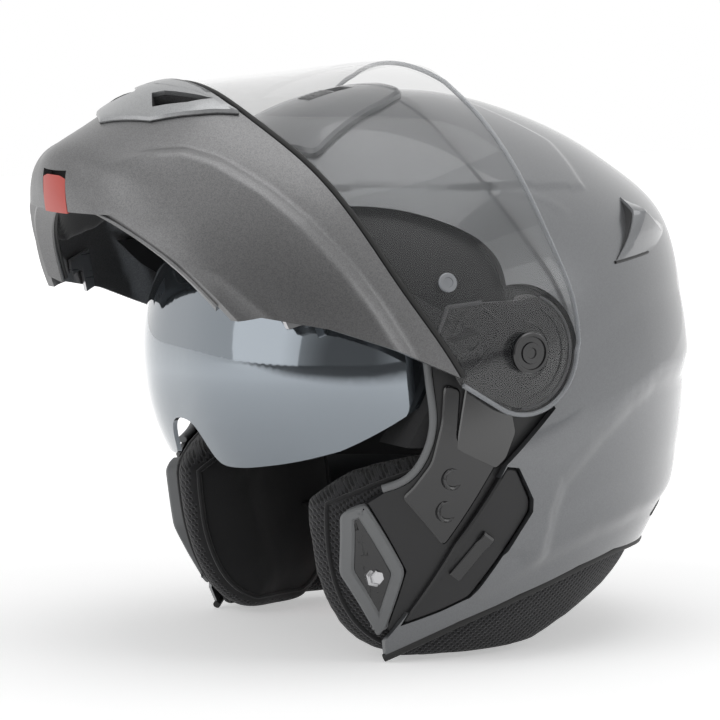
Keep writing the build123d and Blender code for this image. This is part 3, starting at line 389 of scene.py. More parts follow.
def new_object(name, bm):
    """Links a finished bmesh as an object at the origin."""
    mesh = bpy.data.meshes.new(name)
    bm.normal_update()
    bm.to_mesh(mesh)
    bm.free()
    obj = bpy.data.objects.new(name, mesh)
    bpy.context.scene.collection.objects.link(obj)
    return obj


def lofted(name, rows, swung=False, columns=240, per=8, relief=None):
    """A closed form through egg-shaped rows."""
    table = spline([(h, f, r, w) for h, f, r, w in rows], per)
    count = len(table)
    bm = bmesh.new()
    bmesh.ops.create_grid(bm, x_segments=columns, y_segments=count - 1, size=1)
    bm.verts.ensure_lookup_table()
    u = np.array([v.co.x for v in bm.verts]) / 2 + 0.5
    v = np.array([v.co.y for v in bm.verts]) / 2 + 0.5
    row = np.clip(np.rint(v * (count - 1)).astype(int), 0, count - 1)
    h, f, r, w = table[row].T
    a = 2 * math.pi * u
    reach = np.where(np.cos(a) > 0, f, r)
    p = np.c_[w * np.sin(a), -reach * np.cos(a), h]
    if relief:
        n = np.c_[np.sin(a) / np.maximum(w, MM), -np.cos(a) / np.maximum(reach, MM), 0 * h]
        n /= np.linalg.norm(n, axis=1)[:, None]
        p = p + n * relief(p)[:, None]
    for vert, co in zip(bm.verts, world(p, swung)):
        vert.co = co
    bmesh.ops.remove_doubles(bm, verts=bm.verts, dist=1e-6)
    bmesh.ops.holes_fill(bm, edges=bm.edges, sides=0)
    bmesh.ops.recalc_face_normals(bm, faces=bm.faces)
    return new_object(name, bm)


def lay(outline, plane, depth):
    """Outline points of a side, front or top view at a depth."""
    if plane == "side":
        return [(depth, a, b) for a, b in outline]
    if plane == "front":
        return [(a, depth, b) for a, b in outline]
    return [(a, b, depth) for a, b in outline]


def prism(name, outline, swung=False, low=-0.2, high=0.2, plane="side"):
    """A side, front or top view outline swept across."""
    near, far = (world(lay(outline, plane, depth), swung) for depth in (low, high))
    bm = bmesh.new()
    face = bm.faces.new([bm.verts.new(co) for co in near])
    grown = bmesh.ops.extrude_face_region(bm, geom=[face])["geom"]
    verts = [g for g in grown if isinstance(g, bmesh.types.BMVert)]
    bmesh.ops.translate(bm, verts=verts, vec=Vector(far[0] - near[0]))
    bmesh.ops.recalc_face_normals(bm, faces=bm.faces)
    return new_object(name, bm)


def circle(centre, radius, segments=64):
    """Outline of a round hole."""
    a = np.linspace(0, 2 * math.pi, segments, endpoint=False)
    return [(centre[0] + radius * math.cos(t), centre[1] + radius * math.sin(t)) for t in a]


def carve(base, keep=(), cut=()):
    """Keeps what lies in some solids and outside others, and drops the tools."""
    for tool, operation in [(k, "INTERSECT") for k in keep] + [(c, "DIFFERENCE") for c in cut]:
        m = base.modifiers.new("carve", "BOOLEAN")
        m.operation, m.object, m.solver = operation, tool, "MANIFOLD"
    bake(base)
    for tool in [*keep, *cut]:
        bpy.data.objects.remove(tool)
    return base


def bake(obj):
    """Applies the modifiers of an object."""
    graph = bpy.context.evaluated_depsgraph_get()
    mesh = bpy.data.meshes.new_from_object(obj.evaluated_get(graph))
    obj.modifiers.clear()
    old = obj.data
    obj.data = mesh
    bpy.data.meshes.remove(old)
    mesh.name = obj.name
    return obj


class Skin:
    """A form to lay things on: its surface and smooth normals."""

    def __init__(self, rows, swung=False, columns=180, relief=None):
        obj = lofted("skin", rows, swung, columns, 8, relief)
        self.take(obj)
        self.swung = swung
        bpy.data.objects.remove(obj)

    def take(self, obj):
        mesh = obj.data
        self.cos = [v.co.copy() for v in mesh.vertices]
        self.normals = [v.normal.copy() for v in mesh.vertices]
        self.polys = [tuple(p.vertices) for p in mesh.polygons]
        self.tree = BVHTree.FromPolygons(self.cos, self.polys)

    def normal(self, co, face):
        n = Vector((0, 0, 0))
        for k in self.polys[face]:
            n += self.normals[k] / ((self.cos[k] - co).length + 1e-6)
        return n.normalized()

    def at(self, point, plane="side", height=0.0):
        """Where a view point falls on the form, and the normal there."""
        outside = -0.3 if plane == "front" else 0.3
        far, near = world(lay([point], plane, 0) + lay([point], plane, outside), self.swung)
        start, aim = Vector(near), Vector(far) - Vector(near)
        co, _, face, _ = self.tree.ray_cast(start, aim.normalized())
        if co is None:
            co, _, face, _ = self.tree.find_nearest(start.lerp(Vector(far), 0.65))
        n = self.normal(co, face)
        return co + n * height, n


ON_SKIN = 0.02 * MM
SAME_WAY = 0.86  # cosine of the turn up to which a face takes the form's normal


def smooth_on(obj, skins):
    """Takes smooth normals from the forms that the surface was cut from."""
    mesh = obj.data
    near = [[] for _ in mesh.vertices]
    for skin in skins:
        for i, v in enumerate(mesh.vertices):
            co, _, face, dist = skin.tree.find_nearest(v.co, ON_SKIN)
            if co is not None:
                near[i].append(skin.normal(co, face))
    loops = [None] * len(mesh.loops)
    for p in mesh.polygons:
        flat = p.normal.copy()
        for li in p.loop_indices:
            pick, top = flat, SAME_WAY
            for n in near[mesh.loops[li].vertex_index]:
                for sign in (1, -1):
                    d = sign * n.dot(flat)
                    if d > top:
                        top, pick = d, n * sign
            loops[li] = tuple(pick)
    mesh.polygons.foreach_set("use_smooth", [True] * len(mesh.polygons))
    mesh.normals_split_custom_set(loops)
    return obj


def skin_of(obj):
    """The skin of an object as it stands."""
    skin = Skin.__new__(Skin)
    skin.take(obj)
    return skin


def shell_of(name, rows, inset, wall, outline, swung=False, cut=(), relief=None, dense=300, per=8):
    """A wall between two forms, kept inside a side-view outline."""
    outer = lofted(name, rows(inset), swung, dense, per, relief)
    inner = lofted(name + "_in", rows(inset + wall), swung, dense // 2, per // 2, relief)
    skins = [skin_of(outer), skin_of(inner)]
    carve(outer, [prism("keep", outline, swung)], [inner, *cut])
    return smooth_on(outer, skins)


def drawn_in(outline, distance):
    """An outline drawn in by a distance."""
    p = np.array(outline, float)
    if not distance:
        return p
    turn = 1 if np.cross(p, np.roll(p, -1, 0)).sum() > 0 else -1
    edge = np.roll(p, -1, 0) - p
    edge /= np.linalg.norm(edge, axis=1)[:, None]
    n = turn * np.c_[-edge[:, 1], edge[:, 0]]
    before = np.roll(n, 1, 0)
    mitre = n + before
    mitre /= np.maximum((mitre * n).sum(1), 0.25)[:, None]
    return p + mitre * distance


def rounded(outline, radius, steps=4):
    """An outline with its corners rounded."""
    p = np.array(outline, float)
    out = []
    for before, corner, after in zip(np.roll(p, 1, 0), p, np.roll(p, -1, 0)):
        a, b = before - corner, after - corner
        la, lb = np.linalg.norm(a), np.linalg.norm(b)
        cut = min(radius, la * 0.45, lb * 0.45)
        for t in np.linspace(0, 1, steps + 1):
            out.append(
                (1 - t) ** 2 * (corner + a / la * cut)
                + 2 * t * (1 - t) * corner
                + t**2 * (corner + b / lb * cut)
            )
    return np.array(out)


def bridge(bm, a, b, closed=True):
    """Faces between two rows of vertices."""
    for i in range(len(a) if closed else len(a) - 1):
        k = (i + 1) % len(a)
        bm.faces.new((a[i], a[k], b[k], b[i]))


def draped(name, outline, profile, skin, plane="side", cell=0.004, relief=None):
    """A plate laid on a form: rings of (inset, height), then a filled top."""
    bm = bmesh.new()
    rings = [
        [bm.verts.new((a, b, height)) for a, b in drawn_in(outline, step)] for step, height in profile
    ]
    for low, high in zip(rings, rings[1:]):
        bridge(bm, low, high)
    fills = [bm.faces.new(list(reversed(rings[0]))), bm.faces.new(rings[-1])]
    bm.normal_update()
    bmesh.ops.triangulate(bm, faces=fills)
    for axis, (low, high) in enumerate(zip(np.min(outline, 0), np.max(outline, 0))):
        across = Vector((1 - axis, axis, 0))
        for at in np.arange(low + cell, high, cell):
            geom = set()
            for f in bm.faces:
                spots = [v.co[axis] for v in f.verts]
                if min(spots) < at < max(spots):
                    geom.update([f], f.edges, f.verts)
            bmesh.ops.bisect_plane(bm, geom=list(geom), plane_co=across * at, plane_no=across, dist=1e-7)
    top = profile[-1][1]
    for v in bm.verts:
        a, b, height = v.co
        if relief and height > top - 1e-6:
            height += relief(a, b)
        v.co = skin.at((a, b), plane, height)[0]
    bmesh.ops.recalc_face_normals(bm, faces=bm.faces)
    return crisp(new_object(name, bm))


def soft(obj):
    """Smooth shading all over."""
    obj.data.polygons.foreach_set("use_smooth", [True] * len(obj.data.polygons))
    return obj


def crisp(obj, degrees=28):
    """Smooth shading with sharp edges kept."""
    soft(obj).data.set_sharp_from_angle(angle=math.radians(degrees))
    return obj


def turned(name, centre, axis, profile, segments=48):
    """A round part spun about an axis: (radius, height) pairs from its base."""
    axis = Vector(axis).normalized()
    side = axis.orthogonal().normalized()
    bm = bmesh.new()
    line = [bm.verts.new(Vector(centre) + axis * height + side * radius) for radius, height in profile]
    edges = [bm.edges.new(ends) for ends in zip(line, line[1:])]
    bmesh.ops.spin(
        bm, geom=line + edges, cent=centre, axis=axis, angle=2 * math.pi, steps=segments, use_merge=True
    )
    bmesh.ops.remove_doubles(bm, verts=bm.verts, dist=1e-6)
    bmesh.ops.holes_fill(bm, edges=bm.edges, sides=0)
    bmesh.ops.recalc_face_normals(bm, faces=bm.faces)
    return crisp(new_object(name, bm))


def round_section(radius, sides=12, flat=1.0):
    """A round or oval section."""
    return [
        (radius * math.cos(t), flat * radius * math.sin(t))
        for t in np.linspace(0, 2 * math.pi, sides, endpoint=False)
    ]


def flat_section(width, height, edge=0.35):
    """A flat band's section with rounded edges."""
    w, h = width / 2, height / 2
    e = h * edge
    half = [(w - e, -h), (w, -h + e), (w, h - e), (w - e, h)]
    return [(-w, -h + e), (-w + e, -h), *half, (-w + e, h), (-w, h - e)]


def swept(name, points, normals, section, closed=False):
    """A section carried along points: its first axis across, its second along the normals."""
    p = np.array([tuple(q) for q in points])
    n = np.array([tuple(q) for q in normals])
    ahead = np.roll(p, -1, 0) - np.roll(p, 1, 0)
    if not closed:
        ahead[0], ahead[-1] = p[1] - p[0], p[-1] - p[-2]
    across = np.cross(ahead, n)
    across /= np.linalg.norm(across, axis=1)[:, None]
    up = np.cross(across, ahead)
    up /= np.linalg.norm(up, axis=1)[:, None]
    bm = bmesh.new()
    rings = [
        [bm.verts.new(p[i] + across[i] * a + up[i] * b) for a, b in section] for i in range(len(p))
    ]
    for a, b in zip(rings, rings[1:] + rings[:closed]):
        bridge(bm, a, b)
    if not closed:
        bm.faces.new(rings[0])
        bm.faces.new(list(reversed(rings[-1])))
    bmesh.ops.recalc_face_normals(bm, faces=bm.faces)
    return crisp(new_object(name, bm), 50)


def along(skin, line, height=0.0, step=0.002):
    """Points and normals of a side-view line on a form, evenly spaced."""
    line = np.array(line, float)
    t = np.r_[0, np.cumsum(np.linalg.norm(np.diff(line, axis=0), axis=1))]
    u = np.linspace(0, t[-1], max(3, int(t[-1] / step)))
    flat = np.c_[np.interp(u, t, line[:, 0]), np.interp(u, t, line[:, 1])]
    return zip(*[skin.at(tuple(q), "side", height) for q in flat])


def round_front(skin, line, rows, height=0.0, share=0.94):
    """Points and normals of a side-view line on both sides, joined across the front."""
    table = np.array(rows)
    line = [q for q in line if q[0] > -share * np.interp(q[1], table[:, 0], table[:, 1])]
    found = list(zip(*along(skin, line, height)))
    first = np.atleast_2d(np.array(found[0][0] - pivot()))
    half, _, level = (swing(first, -sizes().chin_travel) if skin.swung else first)[0]
    half = abs(half)
    front = [skin.at((x, level), "front", height) for x in np.linspace(-half, half, 32)[1:-1]]
    other = [(Vector((-p.x, p.y, p.z)), Vector((-n.x, n.y, n.z))) for p, n in found]
    return zip(*(other[::-1] + front + found))


def mirrored(obj, name):
    """The other side's copy of a piece."""
    bm = bmesh.new()
    bm.from_mesh(obj.data)
    bmesh.ops.scale(bm, vec=(-1, 1, 1), verts=bm.verts)
    bmesh.ops.reverse_faces(bm, faces=bm.faces)
    return crisp(new_object(name, bm))


CLOTH_FRAMES = 20


def puffed(obj, voxel, cap, pressure=4.0):
    """Padded fabric: remeshed, filled by a cloth run, capped and smoothed."""
    m = obj.modifiers.new("remesh", "REMESH")
    m.mode, m.voxel_size = "VOXEL", voxel
    bake(obj)
    rest = np.array([v.co for v in obj.data.vertices])
    m = obj.modifiers.new("fill", "CLOTH")
    m.settings.use_pressure = True
    m.settings.uniform_pressure_force = pressure
    m.settings.effector_weights.gravity = 0
    m.point_cache.frame_start, m.point_cache.frame_end = 1, CLOTH_FRAMES
    for f in range(1, CLOTH_FRAMES + 1):
        bpy.context.scene.frame_set(f)
    bake(obj)
    bpy.context.scene.frame_set(1)
    move = np.array([v.co for v in obj.data.vertices]) - rest
    far = np.linalg.norm(move, axis=1)[:, None]
    now = rest + move * np.minimum(1, cap / np.maximum(far, 1e-9))
    obj.data.vertices.foreach_set("co", now.ravel())
    m = obj.modifiers.new("smooth", "SMOOTH")
    m.iterations = 4
    m = obj.modifiers.new("fine", "SUBSURF")
    m.levels = m.render_levels = 1
    return soft(bake(obj))


def relaxed(obj, voxel, rounds=6):
    """A thin padded layer: remeshed and smoothed."""
    m = obj.modifiers.new("remesh", "REMESH")
    m.mode, m.voxel_size = "VOXEL", voxel
    m = obj.modifiers.new("smooth", "SMOOTH")
    m.iterations = rounds
    return soft(bake(obj))


def line_distance(p, line):
    """Distance of points from a line on the right or left side, and how they lie to it."""
    p = np.c_[np.abs(p[:, 0]), p[:, 1:]]
    best = np.full(len(p), 9.0)
    offset = np.zeros((len(p), 3))
    line = np.array(line, float)
    for a, b in zip(line, line[1:]):
        ab = b - a
        t = np.clip(((p - a) @ ab) / (ab @ ab), 0, 1)
        q = p - (a + t[:, None] * ab)
        d = np.linalg.norm(q, axis=1)
        closer = d < best
        best = np.where(closer, d, best)
        offset[closer] = q[closer]
    return best, offset


def crease(p, line, height, above, below):
    """A crest along a line that runs out over one width above it and another below."""
    d, q = line_distance(p, line)
    t = np.clip(1 - d / np.where(q[:, 2] > 0, above, below), 0, 1)
    return height * t * (1.25 - 0.25 * t)


def step_up(x, width):
    """A smooth step from 0 to 1 over a width about zero."""
    t = np.clip(x / width + 0.5, 0, 1)
    return t * t * (3 - 2 * t)


class Value:
    """A shader value that takes part in sums."""

    def __init__(self, tree, socket):
        self.tree, self.socket = tree, socket

    def math(self, operation, *values):
        node = self.tree.nodes.new("ShaderNodeMath")
        node.operation = operation
        for socket, value in zip(node.inputs, values):
            put(socket, value)
        return Value(self.tree, node.outputs[0])

    def __add__(self, other):
        return self.math("ADD", self, other)

    def __radd__(self, other):
        return self.math("ADD", other, self)

    def __sub__(self, other):
        return self.math("SUBTRACT", self, other)

    def __rsub__(self, other):
        return self.math("SUBTRACT", other, self)

    def __mul__(self, other):
        return self.math("MULTIPLY", self, other)

    def __rmul__(self, other):
        return self.math("MULTIPLY", other, self)

    def __truediv__(self, other):
        return self.math("DIVIDE", self, other)

    def __pow__(self, other):
        return self.math("POWER", self, other)

    def sin(self):
        return self.math("SINE", self)

    def clamp(self):
        """Kept between 0 and 1."""
        value = self.math("ADD", self, 0.0)
        value.socket.node.use_clamp = True
        return value

    def above(self, edge, width):
        """0 under the edge and 1 over it, softly."""
        return ((self - (edge - width / 2)) / width).clamp()


def put(socket, value):
    """Links a value to a socket, or writes a plain one."""
    if isinstance(value, Value):
        value.tree.links.new(value.socket, socket)
    elif isinstance(value, tuple) and len(value) < len(socket.default_value):
        socket.default_value = (*value, 1)
    else:
        socket.default_value = value


class Nodes:
    """Adds nodes to a tree: their settings first, then their sockets."""

    def __init__(self, tree):
        self.tree = tree

    def node(self, kind, out=0, props=None, numbered=None, **values):
        node = self.tree.nodes.new(kind)
        for key, value in (props or {}).items():
            setattr(node, key, value)
        for key, value in (numbered or {}).items():
            put(node.inputs[key], value)
        for key, value in values.items():
            put(node.inputs[key.replace("_", " ")], value)
        return Value(self.tree, node.outputs[out]) if node.outputs else None

    def parts(self, vector):
        """The three numbers of a vector."""
        node = self.node("ShaderNodeSeparateXYZ", Vector=vector).socket.node
        return [Value(self.tree, socket) for socket in node.outputs]

    def direct_rays(self):
        """1 for what the camera sees, straight, mirrored or through a lens."""
        node = self.node("ShaderNodeLightPath").socket.node
        straight, reflected, through = (
            Value(self.tree, node.outputs[key])
            for key in ("Is Camera Ray", "Is Glossy Ray", "Is Transmission Ray")
        )
        return (straight + reflected + through).clamp()


class Paint(Nodes):
    """A node material: its pattern nodes and its finish."""

    def __init__(self, name):
        packed = bpy.data.materials.get(name)
        if packed:
            packed.name = "packed_" + name
        self.material = bpy.data.materials.new(name)
        self.material.use_nodes = True
        super().__init__(self.material.node_tree)
        self.bsdf = self.tree.nodes["Principled BSDF"]
        self.where = self.node("ShaderNodeTexCoord", "Object")

    def xyz(self):
        return self.parts(self.where)

    def noise(self, scale, detail=2.0, stretch=None):
        where = self.where
        if stretch:
            where = self.node("ShaderNodeMapping", Vector=where, Scale=stretch)
        return self.node("ShaderNodeTexNoise", Vector=where, Scale=scale, Detail=detail, Roughness=0.5)

    def mix(self, share, a, b):
        """Colour a to colour b."""
        return self.node("ShaderNodeMix", 2, {"data_type": "RGBA"}, {0: share, 6: a, 7: b})

    def bump(self, height, distance, strength):
        self.set(Normal=self.node("ShaderNodeBump", Height=height, Distance=distance, Strength=strength))

    def set(self, **values):
        for key, value in values.items():
            put(self.bsdf.inputs[key.replace("_", " ")], value)


def shade(colour, factor):
    """A lighter or darker colour."""
    return tuple(min(1, c * factor) for c in colour)


def flake_paint(name, colour, sparkle, rough, coat):
    """Metallic paint: fine flakes in the colour coat."""
    p = Paint(name)
    flakes = p.node("ShaderNodeTexVoronoi", "Color", Vector=p.where, Scale=2600)
    lift = (p.node("ShaderNodeSeparateColor", Color=flakes) - 0.5) * sparkle
    dark, light = shade(colour, 0.72), shade(colour, 1.35)
    p.set(Base_Color=p.mix((0.5 + lift).clamp(), dark, light), Metallic=0.75)
    cloud = p.noise(9, 3)
    p.set(Roughness=rough + 0.04 * cloud, Coat_Weight=coat, Coat_Roughness=0.04, Coat_IOR=1.5)
    p.bump(p.noise(420, 1), 0.00001, 0.25)


def plastic(name, colour, rough, grain=1400, depth=0.00002, coat=0.0):
    """Moulded plastic with a fine grain."""
    p = Paint(name)
    cloud = p.noise(22, 4)
    worn = tuple(min(1, c * 1.25 + 0.004) for c in colour)  # lighter where it is rubbed
    p.set(Base_Color=p.mix(cloud, colour, worn), Metallic=0.0)
    p.set(Roughness=rough - 0.05 + 0.1 * cloud, Coat_Weight=coat, Coat_Roughness=0.1)
    p.bump(p.noise(grain, 2), depth, 0.6)


def metal(name, colour, rough, line=(40, 40, 900)):
    """Plain metal with fine lines."""
    p = Paint(name)
    lines = p.noise(1, 3, stretch=line)
    p.set(Base_Color=p.mix(lines, shade(colour, 0.85), colour), Metallic=1.0)
    p.set(Roughness=rough - 0.05 + 0.12 * lines)
    p.bump(lines, 0.00001, 0.3)


def knit(name, colour, pitch=3.2 * MM):
    """Open spacer mesh: a field of small holes in a soft knit, the holes painted near black as the shade
    inside them.
    """
    p = Paint(name)
    x, y, z = p.xyz()
    k = 2 * math.pi / pitch
    field = (k * (y + 0.35 * x)).sin() * (k * (z + 0.35 * x)).sin()
    yarn = p.noise(1800, 2)
    hole = (0.5 - 0.5 * field).above(0.62, 0.3)
    thread = p.mix(yarn, colour, shade(colour, 2.1))
    # The holes are painted near black: painted shade inside the open mesh.
    p.set(Base_Color=p.mix(hole, thread, shade(colour, 0.12)), Roughness=0.85)
    p.set(Sheen_Weight=0.25, Sheen_Roughness=0.4)
    p.bump(1.0 - hole + 0.25 * yarn, 0.8 * MM, 0.9)


def brushed(name, colour):
    """Smooth brushed lining."""
    p = Paint(name)
    fuzz = p.noise(1500, 4)
    cloud = p.noise(30, 3)
    p.set(Base_Color=p.mix(0.4 * fuzz + 0.4 * cloud, colour, shade(colour, 1.8)), Roughness=0.9)
    p.set(Sheen_Weight=0.35, Sheen_Roughness=0.5)
    p.bump(fuzz + cloud, 0.2 * MM, 0.5)


def woven(name, colour, pitch=1.6 * MM):
    """Webbing woven in ribs, their crests painted lighter and their grooves darker as light and shade."""
    p = Paint(name)
    x, y, z = p.xyz()
    k = 2 * math.pi / pitch
    rib = 0.5 + 0.5 * ((k * y).sin() * (k * (x + z)).sin())
    # Crests painted lighter than the grooves: painted light and shade on the weave.
    p.set(Base_Color=p.mix(rib, colour, shade(colour, 2.0)), Roughness=0.8)
    p.bump(rib, 0.3 * MM, 0.7)


def lens(name, tint, clear, rough=0.02, mirror=0.0):
    """A thin tinted lens: see-through face on, reflecting at its edges."""
    p = Paint(name)
    p.set(Base_Color=tint, Roughness=rough + 0.02 * p.noise(60, 4), IOR=1.45, Metallic=mirror)
    p.set(Alpha=1.0 - clear, Coat_Weight=1.0, Coat_Roughness=0.01)


def make_materials():
    """Every finish of the helmet, under the name of its slot or of its look."""
    group = bpy.context.scene.helmet_colours
    own = {name: tuple(getattr(group, name)) for name in HelmetColours.__annotations__}
    flake_paint("shell_gloss", own["shell"], 0.25, 0.34, 1.0)
    flake_paint("titanium_satin", own["chin_bar"], 0.6, 0.38, 0.15)
    flake_paint("silver_paint", own["vent"], 0.4, 0.34, 0.2)
    plastic("black_plastic", own["plastic"], 0.42)
    plastic("satin_black", (0.010, 0.010, 0.011), 0.22, coat=0.5)
    plastic("red_plastic", own["button"], 0.34)
    plastic("gloss_black", (0.006, 0.006, 0.0065), 0.16, coat=1.0)
    # Grey for the ear plate's outer edge ribs: a painted highlight along the edges of black parts.
    plastic("edge_grey", (0.12, 0.12, 0.125), 0.30)
    plastic("grey_rubber", (0.20, 0.205, 0.21), 0.6)
    plastic("black_rubber", (0.012, 0.012, 0.012), 0.6)
    plastic("foam", (0.02, 0.02, 0.021), 0.9, grain=300, depth=0.0004)
    metal("steel", (0.55, 0.55, 0.56), 0.28)
    knit("mesh_fabric", own["mesh"])
    brushed("soft_fabric", own["lining"])
    woven("webbing", (0.02, 0.02, 0.021))
    lens("clear_lens", own["visor"], 0.86)
    # Pale, half-opaque lens for the visor's edge bead and its pins: a painted highlight for the bright
    # glint along the clear edge.
    lens("lens_edge", (0.45, 0.47, 0.50), 0.40)
    lens("smoke_lens", own["sun_visor"], 0.08, 0.05, 0.88)


def dress(obj, body, nodes, slot, surface=None):
    """Gives a piece its material, its body and the nodes it stands for."""
    obj.data.materials.clear()
    obj.data.materials.append(bpy.data.materials[surface or slot])
    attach(obj, body)
    if nodes:
        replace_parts(obj, *nodes)
    return obj


def pair(obj, stem, body, node, slot, surface=None):
    """Dresses a left piece and its mirrored right one."""
    other = mirrored(obj, stem + "_right")
    obj.name = stem + "_left"
    for piece, side in ((obj, "left"), (other, "right")):
        dress(piece, body, [f"{node}_{side}"] if node else [], slot, surface)
    return obj


def shell_relief(p):
    """Height of the shell's creases, crown panel and mark."""
    rear, q = line_distance(p, PANEL_REAR)
    rear = np.where(q[:, 1] < 0, rear, -rear)
    side, q = line_distance(p, PANEL_SIDE)
    side = np.where(q[:, 2] > 0, side, -side)
    panel = step_up(np.minimum(rear, side), 2.5 * MM) * MM
    spike, _ = line_distance(p, CHEVRON)
    mark = 0.5 * MM * np.exp(-((spike / (1.8 * MM)) ** 2))
    flank = crease(p, FLANK, 3.0 * MM, 34 * MM, 9 * MM)
    skirt = crease(p, SKIRT, 2.0 * MM, 18 * MM, 8 * MM)
    return panel + mark + flank + skirt


def chin_relief(p):
    """Height of the chin bar's two crests, which run out towards the front."""
    off_centre = np.abs(p[:, 0])
    ridge = crease(p, CHIN_RIDGE, 4.0 * MM, 8 * MM, 34 * MM)
    lip = crease(p, CHIN_LIP, 3.4 * MM, 11 * MM, 16 * MM)
    ridge *= step_up(off_centre - 36 * MM, 26 * MM)
    return ridge + lip * step_up(off_centre - 26 * MM, 20 * MM)


class HELMET_OT_shell(bpy.types.Operator):
    """Outer shell with its creases, raised crown panel, ear cut-outs and panel windows"""

    bl_idname = "helmet.shell"
    bl_label = "Outer shell"

    def execute(self, context):
        s = sizes()
        edge = [tuple(q) for q in spline(shell_side(SHELL_EDGE_CURVE))]
        outline = edge + shell_side(SHELL_EDGE + RIM + SHELL_FAR)
        cut = [
            prism("ear", circle((0, 0), EAR_HOLE)),
            prism("window", drawn_in(shell_side(SIDE_PANEL), -PLAY)),
        ]
        obj = shell_of(
            "shell_cover", shell_rows, 0, s.shell_wall, outline, False, cut, shell_relief, 480, 11
        )
        dress(obj, "shell", ["outer_shell"], "shell_gloss")
        line = spline([(y, z - 1.6 * MM) for y, z in shell_side(RIM)], 20)
        left = list(zip(*along(Skin(shell_rows(2.2 * MM)), line)))
        right = [(Vector((-p.x, p.y, p.z)), Vector((-n.x, n.y, n.z))) for p, n in reversed(left)]
        trim = swept("rim_bead", *zip(*(left + right)), round_section(1.9 * MM, 10))
        dress(trim, "shell", ["rim_trim"], "black_rubber")
        return {"FINISHED"}


class HELMET_OT_face_frame(bpy.types.Operator):
    """Face frame, with the rubber bead round the eye opening"""

    bl_idname = "helmet.face_frame"
    bl_label = "Face frame"

    def execute(self, context):
        s = sizes()
        curve = spline(shell_side(EYEPORT))
        outline = [tuple(q) for q in curve] + shell_side(FRAME_BACK)
        obj = shell_of("face_frame_cover", shell_rows, s.frame_depth, FRAME_WALL, outline)
        nodes = ["face_frame", "frame_cheek_left", "frame_cheek_right"]
        dress(obj, "shell", nodes, "black_plastic")
        aim = np.array(shell_side([EYEPORT_CENTRE])) - curve
        line = curve + aim / np.linalg.norm(aim, axis=1)[:, None] * 2.0 * MM
        skin = Skin(shell_rows(s.frame_depth - 0.2 * MM))
        points, normals = round_front(skin, line, shell_rows(s.frame_depth))
        section = [(a, b - 1.2 * MM) for a, b in round_section(1.85 * MM, 14, 1.35)]
        bead = swept("eyeport_bead", points, normals, section)
        dress(bead, "shell", ["eyeport_gasket"], "grey_rubber")
        return {"FINISHED"}


SOCKETS = (
    ("socket_upper", "plate_sockets", (-0.274, -0.387, 0.938)),
    ("socket_lower", None, (-0.288, -0.488, 0.919)),
)
SOCKET_PROFILE = metres([
    (0, 1.2), (3.2, 1.2), (3.2, 5.6), (3.7, 6.7), (4.6, 7.1), (5.2, 6.4), (5.2, 0),
])
STRIKER = (0.719, -0.496, -0.700)
STRIKER_PROFILE = metres([
    (0, 0), (5.0, 0), (5.0, 1.9), (4.4, 2.4), (3.6, 2.6), (3.6, 4.2), (3.0, 4.9), (0, 4.9),
])
SLIDER = (0.925, -0.182, -0.633)
SLIDER_RUN = (0.299, 0.552, 0.780)
SLIDER_OUT = (0.954, -0.199, -0.225)
SLIDER_PROFILE = (
    (-13, -2.4), (-13, 0.4), (-12, 0.8), (4, 0.8), (6.5, 1.1), (8.5, 2.0), (11.5, 2.0), (12.6, 1.2),
    (13, -2.4),
)
SLIDER_HALF = 3.2


